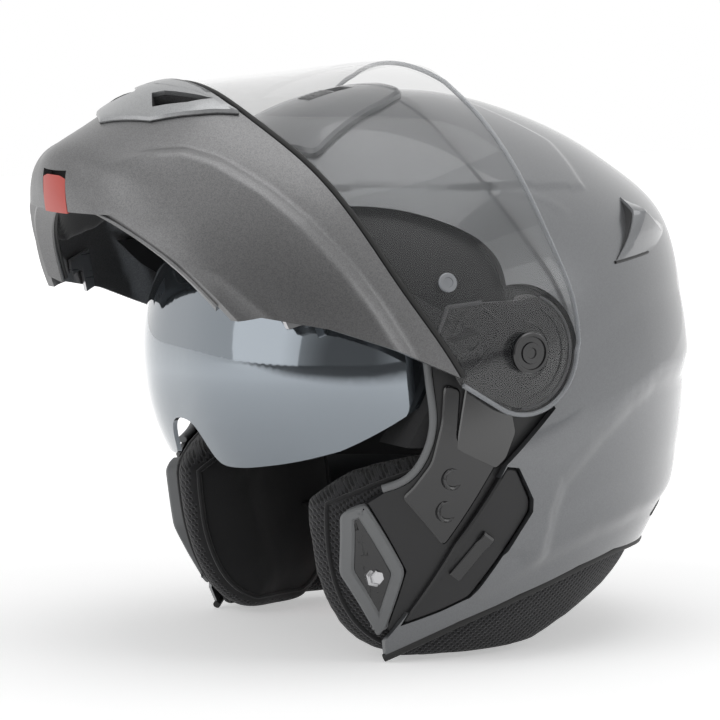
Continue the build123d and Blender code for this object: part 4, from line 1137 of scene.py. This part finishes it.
class HELMET_OT_plates(bpy.types.Operator):
    """Plates below the ears: socket plate, lock plate, side panel and slider"""

    bl_idname = "helmet.plates"
    bl_label = "Side plates"

    def execute(self, context):
        s = sizes()
        skin = Skin(shell_rows(s.frame_depth))
        self.cheek(s, skin)
        self.lock(s, skin)
        self.panel(s)
        self.slider(s)
        return {"FINISHED"}

    def cheek(self, s, skin):
        """The plate with its two sockets, and the gloss panel beside it."""
        outline = rounded(shell_side(SIDE_PLATE), 3 * MM)
        obj = draped("socket_plate", outline, metres([(0, 0.3), (0, 1.3), (0.8, 2.0)]), skin)
        pair(obj, "socket_plate", "shell", "side_plate", "satin_black")
        outline = rounded(shell_side(CHEEK_PANEL), 2 * MM)
        obj = draped("cheek_panel", outline, metres([(0, 0.2), (0, 1.5), (0.6, 2.1)]), skin)
        pair(obj, "cheek_panel", "shell", None, "satin_black", "gloss_black")
        for stem, node, (y, z, x) in SOCKETS:
            spot = world([(x * s.half_width - 7 * MM, y * s.brow_reach, z * s.skirt_depth)])[0]
            ring = turned("socket", spot, (1, 0, 0), SOCKET_PROFILE)
            pair(ring, stem, "shell", node, "satin_black")

    def lock(self, s, skin):
        """The corner plate: a rubber-edged guard, its face and the chin bar's striker."""
        outline = rounded(shell_side(LOCK_PLATE), 3 * MM)
        edge = metres([(0, -4.6), (0, 0.4), (0.9, 1.6), (4.2, 1.6), (5.8, -0.4)])
        guard = draped("lock_guard", outline, edge, skin, cell=6 * MM)
        pair(guard, "lock_guard", "shell", "lock_plate", "black_plastic", "grey_rubber")
        edge = metres([(0, -1.2), (0, 0.2), (0.4, 0.6)])
        face = draped("lock_face", drawn_in(outline, 5 * MM), edge, skin, cell=6 * MM)
        pair(face, "lock_face", "shell", None, "satin_black")
        x, y, z = STRIKER
        base = world([(x * s.half_width, y * s.brow_reach, z * s.skirt_depth)])[0]
        striker = turned("striker", base, (1, 0, 0), STRIKER_PROFILE, 6)
        pair(striker, "striker", "shell", "lock_striker", "steel")

    def panel(self, s):
        """The black panel let into the shell's lower side."""
        outline = rounded(drawn_in(shell_side(SIDE_PANEL), PLAY), 2 * MM)
        edge = metres([(0, -3.2), (0, -0.7), (0.9, 0)])
        obj = draped("flank_panel", outline, edge, Skin(shell_rows(0.6 * MM)))
        pair(obj, "flank_panel", "shell", "side_panel", "black_plastic")

    def slider(self, s):
        """The sun visor's lever, on the left panel."""
        run, out = Vector(SLIDER_RUN).normalized(), Vector(SLIDER_OUT).normalized()
        across = out.cross(run)
        x, y, z = SLIDER
        centre = Vector(world([(x * s.half_width, y * s.brow_reach, z * s.skirt_depth)])[0])
        bm = bmesh.new()
        rows = []
        for side, fall in ((-1, 0.4), (-0.86, 0), (0.86, 0), (1, 0.4)):
            edge = centre + across * side * SLIDER_HALF * MM
            rows.append([
                bm.verts.new(edge + run * a * MM + out * (b - fall * (b > 0)) * MM)
                for a, b in SLIDER_PROFILE
            ])
        for a, b in zip(rows, rows[1:]):
            bridge(bm, a, b)
        bm.faces.new(rows[0])
        bm.faces.new(list(reversed(rows[-1])))
        bmesh.ops.recalc_face_normals(bm, faces=bm.faces)
        lever = crisp(new_object("visor_slider", bm))
        dress(lever, "sun_visor_slider", ["sun_visor_slider"], "satin_black")


def front_slots():
    """Cutters for the chin vent's two slots."""
    s = sizes()
    half = s.half_width + s.mask_step
    right = [(x * half, z * s.chin_depth) for x, z in VENT_SLOT]
    left = [(-x, z) for x, z in right]
    return [prism("slot", side, True, -0.2, 0, "front") for side in (right, left)]


BUTTON_FRONT = -0.884
BUTTON_REAR = -0.774
BUTTON_HALF = 11.8 * MM
VENT_EDGE = metres([(0, 0.3), (0, 1.0), (1.2, 2.2), (3.0, 2.5)])
SEAL_RADIUS = 1.4 * MM
LIP_BARS = (  # depth and rise of the bar, its turn in degrees, its width, and its surface
    ("chin_lip", 5.0 * MM, 0.0, 62, 10.0 * MM, "titanium_satin"),
    ("chin_strip", 8.8 * MM, 3.5 * MM, 25, 4.6 * MM, "black_rubber"),
)


class HELMET_OT_chin_bar(bpy.types.Operator):
    """Raised chin bar with its ridge and lip, the vent frame and its seal"""

    bl_idname = "helmet.chin_bar"
    bl_label = "Chin bar"

    def execute(self, context):
        s = sizes()
        self.cover(s)
        self.lip()
        self.vent(s)
        line = [(y, z + 1.8 * MM) for y, z in spline(mask_side(CHIN_TOP), 14)]
        rows = mask_rows(0.9 * MM)
        path = round_front(Skin(rows, True), line, rows)
        seal = swept("visor_seal_bead", *path, round_section(SEAL_RADIUS, 10, 1.3))
        dress(seal, "chin_bar", ["visor_seal"], "black_rubber")
        return {"FINISHED"}

    def cover(self, s):
        """The painted bar, with the vent slots and the release button's pocket."""
        outline = [tuple(q) for q in spline(mask_side(CHIN_TOP))] + mask_side(CHIN_LOW)
        reach, half = mask_reach(s), BUTTON_HALF
        front, rear = BUTTON_FRONT * reach - 2 * MM, BUTTON_REAR * reach + 2 * MM
        opening = [(-half, front), (half, front), (half, rear), (-half, rear)]
        pocket = prism("pocket", opening, True, -0.16, -s.chin_depth + 12 * MM, "top")
        cut = [*front_slots(), pocket]
        obj = shell_of("chin_cover", mask_rows, 0, s.chin_wall, outline, True, cut, chin_relief, 480, 10)
        dress(obj, "chin_bar", ["chin_bar"], "titanium_satin")

    def lip(self):
        """The lower edge turned in, and the strip between it and the padding."""
        line = [(y, z + 0.8 * MM) for y, z in spline(mask_side(CHIN_LOW[3:6]), 30)[6:]]
        for name, depth, rise, turn, width, surface in LIP_BARS:
            points, normals = along(Skin(mask_rows(depth), True), [(y, z + rise) for y, z in line])
            a = math.radians(turn)
            section = [
                (x * math.cos(a) - z * math.sin(a), x * math.sin(a) + z * math.cos(a))
                for x, z in flat_section(width, 2.2 * MM, 0.6)
            ]
            bar = swept(name, points, normals, section)
            pair(bar, name, "chin_bar", None, "titanium_satin", surface)

    def vent(self, s):
        """The silver surround of the chin vent."""
        half = s.half_width + s.mask_step
        right = [(x * half, z * s.chin_depth) for x, z in VENT_FRAME]
        outline = np.array(right + [(-x, z) for x, z in reversed(right[1:-1])])
        skin = Skin(mask_rows(0), True, relief=chin_relief)
        surround = draped("vent_surround", outline, VENT_EDGE, skin, "front", 6 * MM)
        carve(surround, [], front_slots())
        dress(crisp(surround), "chin_bar", ["chin_vent_frame"], "silver_paint")


LENS_PIN = (-0.293, -0.179)
LENS_PIN_PROFILE = metres([(4.5, -0.4), (4.5, 0.8), (4.0, 1.3), (2.4, 1.3), (2.2, 0.7), (0, 0.7)])
VISOR_BEAD = 1.2 * MM


class HELMET_OT_visor(bpy.types.Operator):
    """Clear visor with its edge bead and lens pins painted pale, as a painted highlight"""

    bl_idname = "helmet.visor"
    bl_label = "Clear visor"

    def execute(self, context):
        top = [tuple(q) for q in spline(mask_side(VISOR_TOP))]
        low = [(y, z + 3.5 * MM) for y, z in spline(mask_side(CHIN_TOP))]
        rim = self.rim(top[-1], mask_side(EAR_PLATE)[0])
        outline = top + rim + list(reversed(low))
        hole = prism("hole", circle((0, 0), CAP_HOLE), True)
        obj = shell_of("visor_shield", mask_rows, PLAY, VISOR_WALL, outline, True, [hole], dense=360)
        dress(obj, "clear_visor", ["clear_visor"], "clear_lens")
        rows = mask_rows(VISOR_BEAD)
        path = round_front(Skin(rows, True), top + rim, rows)
        bead = swept("visor_edge", *path, round_section(VISOR_BEAD, 8))
        # The edge bead is painted pale: a painted highlight along the visor's edge.
        dress(bead, "clear_visor", [], "clear_lens", "lens_edge")
        at, n = Skin(mask_rows(PLAY), True).at(mask_side([LENS_PIN])[0])
        pin = turned("lens_pin", at, n, LENS_PIN_PROFILE)
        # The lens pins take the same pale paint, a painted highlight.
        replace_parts(pair(pin, "lens_pin", "clear_visor", None, "clear_lens", "lens_edge"), "lens_pins")
        return {"FINISHED"}

    def rim(self, top, corner):
        """Round the ear from the top edge, then straight to the plate's corner."""
        start = math.atan2(top[1], top[0])
        end = math.atan2(corner[1], corner[0]) + math.acos(VISOR_EAR / math.hypot(*corner))
        turns = np.linspace(start, end, 40)[1:]
        return [(VISOR_EAR * math.cos(t), VISOR_EAR * math.sin(t)) for t in turns] + [corner]


EAR_EDGE = metres([(0, -1.4), (0, -0.4), (0.4, 0)])
EAR_RIBS = (  # lines of the ear mechanism and their widths, in millimetres
    ([(-19.5, -8.5), (-27, -12.5), (-29, -22.5), (-22.5, -32.5)], 1.6),
    ([(-15, -13), (-11, -26), (-13, -34)], 1.6),
    ([(-8.5, -16), (-4, -29)], 1.4),
)
RIB_HEIGHT = 0.9 * MM
CAP_PROFILE = metres([
    (7.9, -3.1), (7.9, 0.3), (9.7, 0.4), (9.7, 1.0), (9.1, 1.6), (7.8, 1.6), (7.4, 0.7), (5.2, 0.7),
    (4.8, 1.5), (2.6, 1.5), (2.3, 0.8), (0, 0.8),
])


class HELMET_OT_ears(bpy.types.Operator):
    """Ear mechanisms seen through the visor, with their caps"""

    bl_idname = "helmet.ears"
    bl_label = "Ears"

    def execute(self, context):
        skin = Skin(mask_rows(sizes().chin_wall + 0.4 * MM), True)
        hexagon = mask_side(EAR_PLATE)
        corner, end = hexagon[0], hexagon[-1]
        first = math.atan2(end[1], end[0])
        last = math.atan2(corner[1], corner[0]) + math.acos(EAR_ARC / math.hypot(*corner))
        arc = [(EAR_ARC * math.cos(t), EAR_ARC * math.sin(t)) for t in np.linspace(first, last, 60)[1:]]
        base = draped("ear_plate", np.array(hexagon + arc), EAR_EDGE, skin, cell=6 * MM)
        pair(base, "ear_plate", "chin_bar", "hinge_plate", "steel", "satin_black")
        arm = draped("ear_arm", np.array(mask_side(HINGE_ARM)), EAR_EDGE, skin, cell=8 * MM)
        pair(arm, "ear_arm", "chin_bar", None, "steel", "black_plastic")
        ribs = [
            # The outer edge ribs are painted grey: a painted highlight along the ear plate's edges.
            (hexagon[1:4], 1.8, "edge_grey"),
            (arc[8:-6], 1.6, "edge_grey"),
            ([tuple(0.82 * np.array(q)) for q in arc[10:-8]], 1.2, "satin_black"),
            ([tuple(0.52 * np.array(q)) for q in arc[2:-2]], 1.6, "satin_black"),
        ]
        ribs += [(metres(line), width, "satin_black") for line, width in EAR_RIBS]
        for k, (line, width, surface) in enumerate(ribs):
            points, normals = along(skin, line, 0.1 * MM, step=MM)
            rib = swept(f"ear_rib_{k}", points, normals, flat_section(width * MM, RIB_HEIGHT))
            pair(rib, f"ear_rib_{k}", "chin_bar", None, "satin_black", surface)
        at, _ = Skin(mask_rows(0), True).at((0, 0))
        cap = turned("pivot_cap", at, (1, 0, 0), CAP_PROFILE, 72)
        pair(cap, "pivot_cap", "chin_bar", "pivot_cap", "satin_black")
        return {"FINISHED"}


HOOD_CELLS = 19
HOOD_APEX = 0.30
HOOD_HEIGHTS = ((0, 0.16, 1), (5.0, 8.6, 0.6))
HOOD_CURVE = 4.5 * MM
RIDGE_PITCH = 2.4 * MM


def sheet(columns, rows, place):
    """A closed box of two sheets, each laid out by place(share, share, which sheet)."""
    bm = bmesh.new()
    bmesh.ops.create_grid(bm, x_segments=columns, y_segments=rows, size=1)
    grown = bmesh.ops.extrude_face_region(bm, geom=list(bm.faces))["geom"]
    under = {g for g in grown if isinstance(g, bmesh.types.BMVert)}
    for v in bm.verts:
        v.co = place(v.co.x / 2 + 0.5, v.co.y / 2 + 0.5, v in under)
    bm.normal_update()
    bmesh.ops.recalc_face_normals(bm, faces=bm.faces)
    return bm


class HELMET_OT_vents(bpy.types.Operator):
    """Top vent cover, its slider and the rear vent hoods"""

    bl_idname = "helmet.vents"
    bl_label = "Vents"

    def execute(self, context):
        s = sizes()
        skin = Skin(shell_rows(0), relief=shell_relief)
        half = [(x * s.half_width, y * s.brow_reach) for x, y in TOP_VENT]
        outline = rounded(np.array(half + [(-x, y) for x, y in reversed(half[1:])]), 5 * MM)
        edge = metres([(0, 0.1), (0.4, 2.2), (2.0, 3.4)])
        cover = draped("crown_vent", outline, edge, skin, "top", 6 * MM)
        carve(cover, [], [prism("slot", VENT_SLIT, False, -0.2, 0.2, "top")])
        dress(crisp(cover), "shell", ["top_vent_cover"], "shell_gloss")
        edge = metres([(0, 0.6), (0, 2.6), (0.8, 3.4)])
        slider = draped(
            "crown_vent_slider", rounded(np.array(VENT_KNOB), 1.5 * MM), edge, skin, "top", RIDGE_PITCH / 2,
            relief=lambda a, b: 0.6 * MM * (math.sin(b * 2 * math.pi / RIDGE_PITCH) > 0.2),
        )
        dress(slider, "top_vent_slider", ["top_vent_slider"], "satin_black")
        self.hoods(skin)
        return {"FINISHED"}

    def hoods(self, skin):
        """Faceted hoods, open to the front over a dark mouth: a black plastic sheet that is partly the
        vent's own black and partly painted shade in the opening.
        """
        top, low, low_rear, tip = (np.array(q) for q in shell_side(REAR_VENT))

        def height(u, v):
            crown = min(v / HOOD_APEX, (1 - v) / (1 - HOOD_APEX))
            return float(np.interp(u, *HOOD_HEIGHTS)) * crown * MM

        def spot(u, v, lift):
            ahead = top + (low - top) * v + np.array((HOOD_CURVE * math.sin(math.pi * v), 0))
            behind = tip + (low_rear - tip) * v
            return skin.at(tuple(ahead + (behind - ahead) * u), "side", lift)[0]

        def hood(u, v, under):
            return spot(u, v, -0.8 * MM if under else height(u, v) + 0.4 * MM)

        def mouth(foot, v, inside):
            v = (1 + v * (HOOD_CELLS - 2)) / HOOD_CELLS
            lift = -0.5 * MM if foot > 0.5 else max(0.2 * MM, height(0, v) - 0.9 * MM)
            return spot(0.02 if inside else -0.012, v, lift)

        obj = crisp(new_object("rear_hood", sheet(HOOD_CELLS, HOOD_CELLS, hood)), 24)
        pair(obj, "rear_hood", "shell", "rear_vent", "black_plastic", "shell_gloss")
        # Black plastic sheet across each hood's front opening: the vent's black inside, and painted shade
        # for the depth of the opening.
        obj = crisp(new_object("rear_mouth", sheet(1, HOOD_CELLS - 2, mouth)))
        pair(obj, "rear_mouth", "shell", None, "black_plastic")
        line = [tuple(low + (low_rear - low) * t) for t in np.linspace(0.0, 0.86, 16)]
        groove = swept("rear_groove", *along(skin, line, 0.1 * MM), round_section(0.8 * MM, 6))
        pair(groove, "rear_groove", "shell", None, "black_plastic")


def half_width_at(y, z, depth):
    """The shell form's half width at side-view points, at a depth."""
    table = spline(shell_rows(depth), 8)
    f, r, w = (np.interp(z, table[:, 0], table[:, k]) for k in (1, 2, 3))
    reach = np.where(y < 0, f, r)
    return w * np.sqrt(np.clip(1 - (y / reach) ** 2, 0, 1))


def layer(name, rows, depth, wall, outline, columns, per, swung=False, cut=()):
    """A padded layer between two forms, kept inside a side-view outline."""
    obj = lofted(name, rows(depth), swung, columns[0], per[0])
    inner = lofted("in", rows(depth + wall), swung, columns[1], per[1])
    return carve(obj, [prism("keep", outline, swung)], [inner, *cut])


PAD_RINGS = (  # size of the ring and how far out it lies, from the face to the shell
    (0.30, -0.05), (0.60, -0.04), (0.78, -0.02), (0.88, 0.03), (0.94, 0.12), (0.98, 0.3),
    (0.985, 0.55), (0.97, 0.8), (0.92, 0.95), (0.80, 1.0), (0.5, 1.0),
)
PAD_CENTRE = (-30 * MM, -90 * MM)
PAD_FLOOR = -146.2 * MM
PAD_INSIDE = 55.5 * MM
PAD_DEPTHS = (44.5 * MM, 12.2 * MM)
PIPED_RINGS = (3, 8)
INWARD = 0.72  # how squarely a face looks at the rider's cheek to be lined


class HELMET_OT_lining(bpy.types.Operator):
    """Cheek pads, neck roll, crown lining and chin padding"""

    bl_idname = "helmet.lining"
    bl_label = "Lining"

    def execute(self, context):
        self.pads()
        self.roll()
        self.crown()
        self.chin()
        return {"FINISHED"}

    def pads(self):
        outline = spline(shell_side(CHEEK_PAD + CHEEK_PAD[:1]), 9)[:-1]
        outline[:, 1] = np.maximum(outline[:, 1], PAD_FLOOR)
        rings = []
        for scale, t in PAD_RINGS:
            q = PAD_CENTRE + (outline - PAD_CENTRE) * scale
            low, high = (half_width_at(q[:, 0], q[:, 1], depth) for depth in PAD_DEPTHS)
            low = np.maximum(PAD_INSIDE, low)
            high = np.maximum(low + 4 * MM, high)
            rings.append(np.c_[low + t * (high - low), q])
        bm = bmesh.new()
        made = [[bm.verts.new(co) for co in world(r)] for r in rings]
        for a, b in zip(made, made[1:]):
            bridge(bm, a, b)
        ends = [bm.faces.new(ring) for ring in (made[0], made[-1])]
        bm.normal_update()
        bmesh.ops.triangulate(bm, faces=ends)
        bmesh.ops.recalc_face_normals(bm, faces=bm.faces)
        pad = puffed(new_object("cheek_cushion", bm), 4 * MM, 2.5 * MM)
        pair(pad, "cheek_cushion", "shell", "cheek_pad", "mesh_fabric")
        for side, inward in (("left", -1), ("right", 1)):
            obj = soft(bpy.data.objects["cheek_cushion_" + side])
            obj.data.materials.append(bpy.data.materials["soft_fabric"])
            for face in obj.data.polygons:
                face.material_index = int(inward * face.normal.x > INWARD)
        skin = skin_of(pad)
        for k, ring in enumerate(PIPED_RINGS):
            found = [skin.tree.find_nearest(Vector(q)) for q in world(rings[ring])]
            points = [f[0] for f in found]
            normals = [skin.normal(f[0], f[2]) for f in found]
            cord = swept(f"pad_piping_{k}", points, normals, round_section(1.3 * MM, 8), True)
            pair(cord, f"pad_piping_{k}", "shell", None, "soft_fabric")

    def roll(self):
        outline = shell_side(NECK_ROLL)
        obj = layer("neck_cushion", shell_rows, 6.5 * MM, 14 * MM, outline, (180, 120), (5, 4))
        puffed(obj, 4 * MM, 3 * MM)
        dress(obj, "shell", ["neck_roll"], "mesh_fabric")

    def crown(self):
        depth = sizes().frame_depth + FOAM_DEPTH
        outline = shell_side(CROWN_LINING)
        obj = layer("crown_lining", shell_rows, depth, 5.2 * MM, outline, (160, 140), (5, 5))
        dress(relaxed(obj, 2.5 * MM), "shell", ["crown_liner"], "soft_fabric")

    def chin(self):
        """Chin padding, open behind the vent so that the shutter can slide."""
        s = sizes()
        low, high, half = -0.684 * s.chin_depth, -0.448 * s.chin_depth, 44 * MM
        corners = [(-half, low), (half, low), (half, high), (-half, high)]
        window = prism("window", corners, True, -0.2, 0, "front")
        outline = mask_side(CHIN_PADDING)
        depth = s.chin_wall + 0.6 * MM
        obj = layer(
            "chin_cushion", mask_rows, depth, 7.2 * MM, outline, (200, 160), (5, 5), True, [window]
        )
        dress(relaxed(obj, 2 * MM), "chin_bar", ["chin_liner"], "soft_fabric")


STRAP_MIDDLE = 0.033
STRAP_WIDTH = 23.6 * MM
STRAP_WALL = 1.9 * MM


class HELMET_OT_straps(bpy.types.Operator):
    """Chin straps of woven webbing"""

    bl_idname = "helmet.straps"
    bl_label = "Straps"

    def execute(self, context):
        s = sizes()
        middle = STRAP_MIDDLE * s.nape_reach

        def place(share):
            return np.array((share[0] * s.half_width, share[1] * s.skirt_depth))

        def buckle(run, out):
            a, b = BUCKLE_RUN
            return place(BUCKLE) + np.array((run * a + out * b, run * b - out * a)) * MM

        left = [place(q) for q in STRAP_TOP[1:] + STRAP_HANG] + [buckle(36, 2.3)]
        right = [place(STRAP_TOP[1]) * (-1, 1), buckle(-17, 0)]
        for side, line, first, last in (
            ("left", spline(left, 14), place(STRAP_TOP[0]), buckle(27, 2.3)),
            ("right", spline(right, 24), place(STRAP_TOP[0]) * (-1, 1), buckle(-8, 0)),
        ):
            line = np.vstack([first, line, last])
            ahead = np.gradient(line, axis=0)
            normals = np.c_[-ahead[:, 1], 0 * ahead[:, 0], ahead[:, 0]]
            points = world(np.c_[line[:, 0], np.full(len(line), middle), line[:, 1]])
            band = swept(f"strap_{side}", points, normals, flat_section(STRAP_WIDTH, STRAP_WALL, 0.5))
            dress(band, "shell", [f"chin_strap_{side}"], "webbing")
        return {"FINISHED"}


class HELMET_OT_materials(bpy.types.Operator):
    """Materials for the pieces and the kept parts"""

    bl_idname = "helmet.materials"
    bl_label = "Materials"

    def execute(self, context):
        make_materials()
        for part in frame["record"]["subparts"]:
            node = frame["nodes"][part["node"]]
            node.data.materials.clear()
            node.data.materials.append(bpy.data.materials[part["material_slot"]])
        return {"FINISHED"}


VIEW_TURN = 60  # degrees from straight ahead towards the helmet's left
VIEW_RISE = 6.5
VIEW_DISTANCE = 2.0
VIEW_LENS = 205
VIEW_TARGET = metres([(-4.8, -12.0, -16.0)])
LAMPS = (  # place, size and power
    ("top", (0.1, 0.1, 1.5), 1.2, 6.5),
    ("left", (0.1, -1.7, 0.75), 1.5, 6.0),
    ("right", (1.6, 1.4, 1.1), 0.9, 3.0),
)
LAMP_AIM = (0, 0, 0.15)
WHITE = (1.0, 1.0, 1.0)


class HELMET_OT_stage(bpy.types.Operator):
    """Camera, soft light and a plain floor"""

    bl_idname = "helmet.stage"
    bl_label = "Stage"

    def execute(self, context):
        scene = context.scene
        scene.view_settings.view_transform = "Standard"
        self.camera(scene)
        self.sky(scene)
        self.lamps(scene)
        self.floor()
        return {"FINISHED"}

    def camera(self, scene):
        cam = bpy.data.objects.new("camera", bpy.data.cameras.new("camera"))
        scene.collection.objects.link(cam)
        scene.camera = cam
        turn, rise = math.radians(VIEW_TURN), math.radians(VIEW_RISE)
        back = Vector((math.sin(turn) * math.cos(rise), -math.cos(turn) * math.cos(rise), math.sin(rise)))
        cam.location = Vector(world(VIEW_TARGET)[0]) + back * VIEW_DISTANCE
        cam.rotation_mode = "QUATERNION"
        cam.rotation_quaternion = back.to_track_quat("Z", "Y")
        cam.data.lens = VIEW_LENS

    def sky(self, scene):
        """White where the camera looks and darker behind it, so that gloss shows the form."""
        scene.world = bpy.data.worlds.new("studio")
        scene.world.use_nodes = True
        tree = scene.world.node_tree
        tree.nodes.clear()
        n = Nodes(tree)
        x, y, z = n.parts(n.node("ShaderNodeTexCoord", "Generated"))
        behind = (0.860 * x - 0.497 * y).above(0.80, 0.30)
        over = z.above(0.55, 0.7)
        level = (1.0 - 0.80 * behind + 0.45 * over * behind).clamp()
        cast = n.node("ShaderNodeBackground", Color=WHITE, Strength=0.36)
        seen = n.node("ShaderNodeBackground", Color=WHITE, Strength=level)
        mix = n.node("ShaderNodeMixShader", numbered={0: n.direct_rays(), 1: cast, 2: seen})
        n.node("ShaderNodeOutputWorld", numbered={0: mix})

    def lamps(self, scene):
        for name, where, size, power in LAMPS:
            data = bpy.data.lights.new(name, "AREA")
            data.size, data.energy = size, power
            lamp = bpy.data.objects.new(name, data)
            scene.collection.objects.link(lamp)
            lamp.location = where
            lamp.rotation_mode = "QUATERNION"
            lamp.rotation_quaternion = (Vector(where) - Vector(LAMP_AIM)).to_track_quat("Z", "Y")

    def floor(self):
        """Pale, glowing softly to white far off, and dark behind the camera."""
        bm = bmesh.new()
        bmesh.ops.create_grid(bm, x_segments=8, y_segments=8, size=3)
        floor = new_object("floor", bm)
        floor.location.z = -0.5 * MM
        p = Paint("floor")
        x, y, _ = p.xyz()
        away = ((x * x + y * y) ** 0.5).above(0.55, 0.6)
        behind = (0.866 * x - 0.5 * y).above(0.95, 0.5)
        glow = (0.42 + 0.42 * away) * p.direct_rays() * (1.0 - behind)
        pale = p.mix(p.noise(3, 2), (0.90, 0.90, 0.90), (0.93, 0.93, 0.93))
        p.set(Base_Color=p.mix(behind, pale, (0.16, 0.16, 0.16)), Roughness=0.9)
        p.set(Emission_Color=p.mix(glow, (0, 0, 0), WHITE), Emission_Strength=1.0)
        floor.data.materials.append(p.material)


OPERATORS = (
    HELMET_OT_materials, HELMET_OT_shell, HELMET_OT_face_frame, HELMET_OT_plates, HELMET_OT_chin_bar,
    HELMET_OT_visor, HELMET_OT_ears, HELMET_OT_vents, HELMET_OT_lining, HELMET_OT_straps, HELMET_OT_stage,
)


class HELMET_PT_panel(bpy.types.Panel):
    """The helmet's sizes, colours and steps"""

    bl_idname = "HELMET_PT_panel"
    bl_label = "Helmet"
    bl_space_type = "VIEW_3D"
    bl_region_type = "UI"
    bl_category = "Helmet"

    def draw(self, context):
        scene = context.scene
        for group in (scene.helmet_sizes, scene.helmet_colours):
            for name in type(group).__annotations__:
                self.layout.prop(group, name)
        for step in OPERATORS:
            self.layout.operator(step.bl_idname)


CLASSES = (HelmetSizes, HelmetColours, *OPERATORS, HELMET_PT_panel)


def register():
    for kind in CLASSES:
        bpy.utils.register_class(kind)
    bpy.types.Scene.helmet_sizes = bpy.props.PointerProperty(type=HelmetSizes)
    bpy.types.Scene.helmet_colours = bpy.props.PointerProperty(type=HelmetColours)


def unregister():
    del bpy.types.Scene.helmet_sizes, bpy.types.Scene.helmet_colours
    for kind in reversed(CLASSES):
        bpy.utils.unregister_class(kind)


def main():
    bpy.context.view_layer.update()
    register()
    for step in OPERATORS:
        group, name = step.bl_idname.split(".")
        getattr(getattr(bpy.ops, group), name)()


if __name__ == "__main__":
    main()
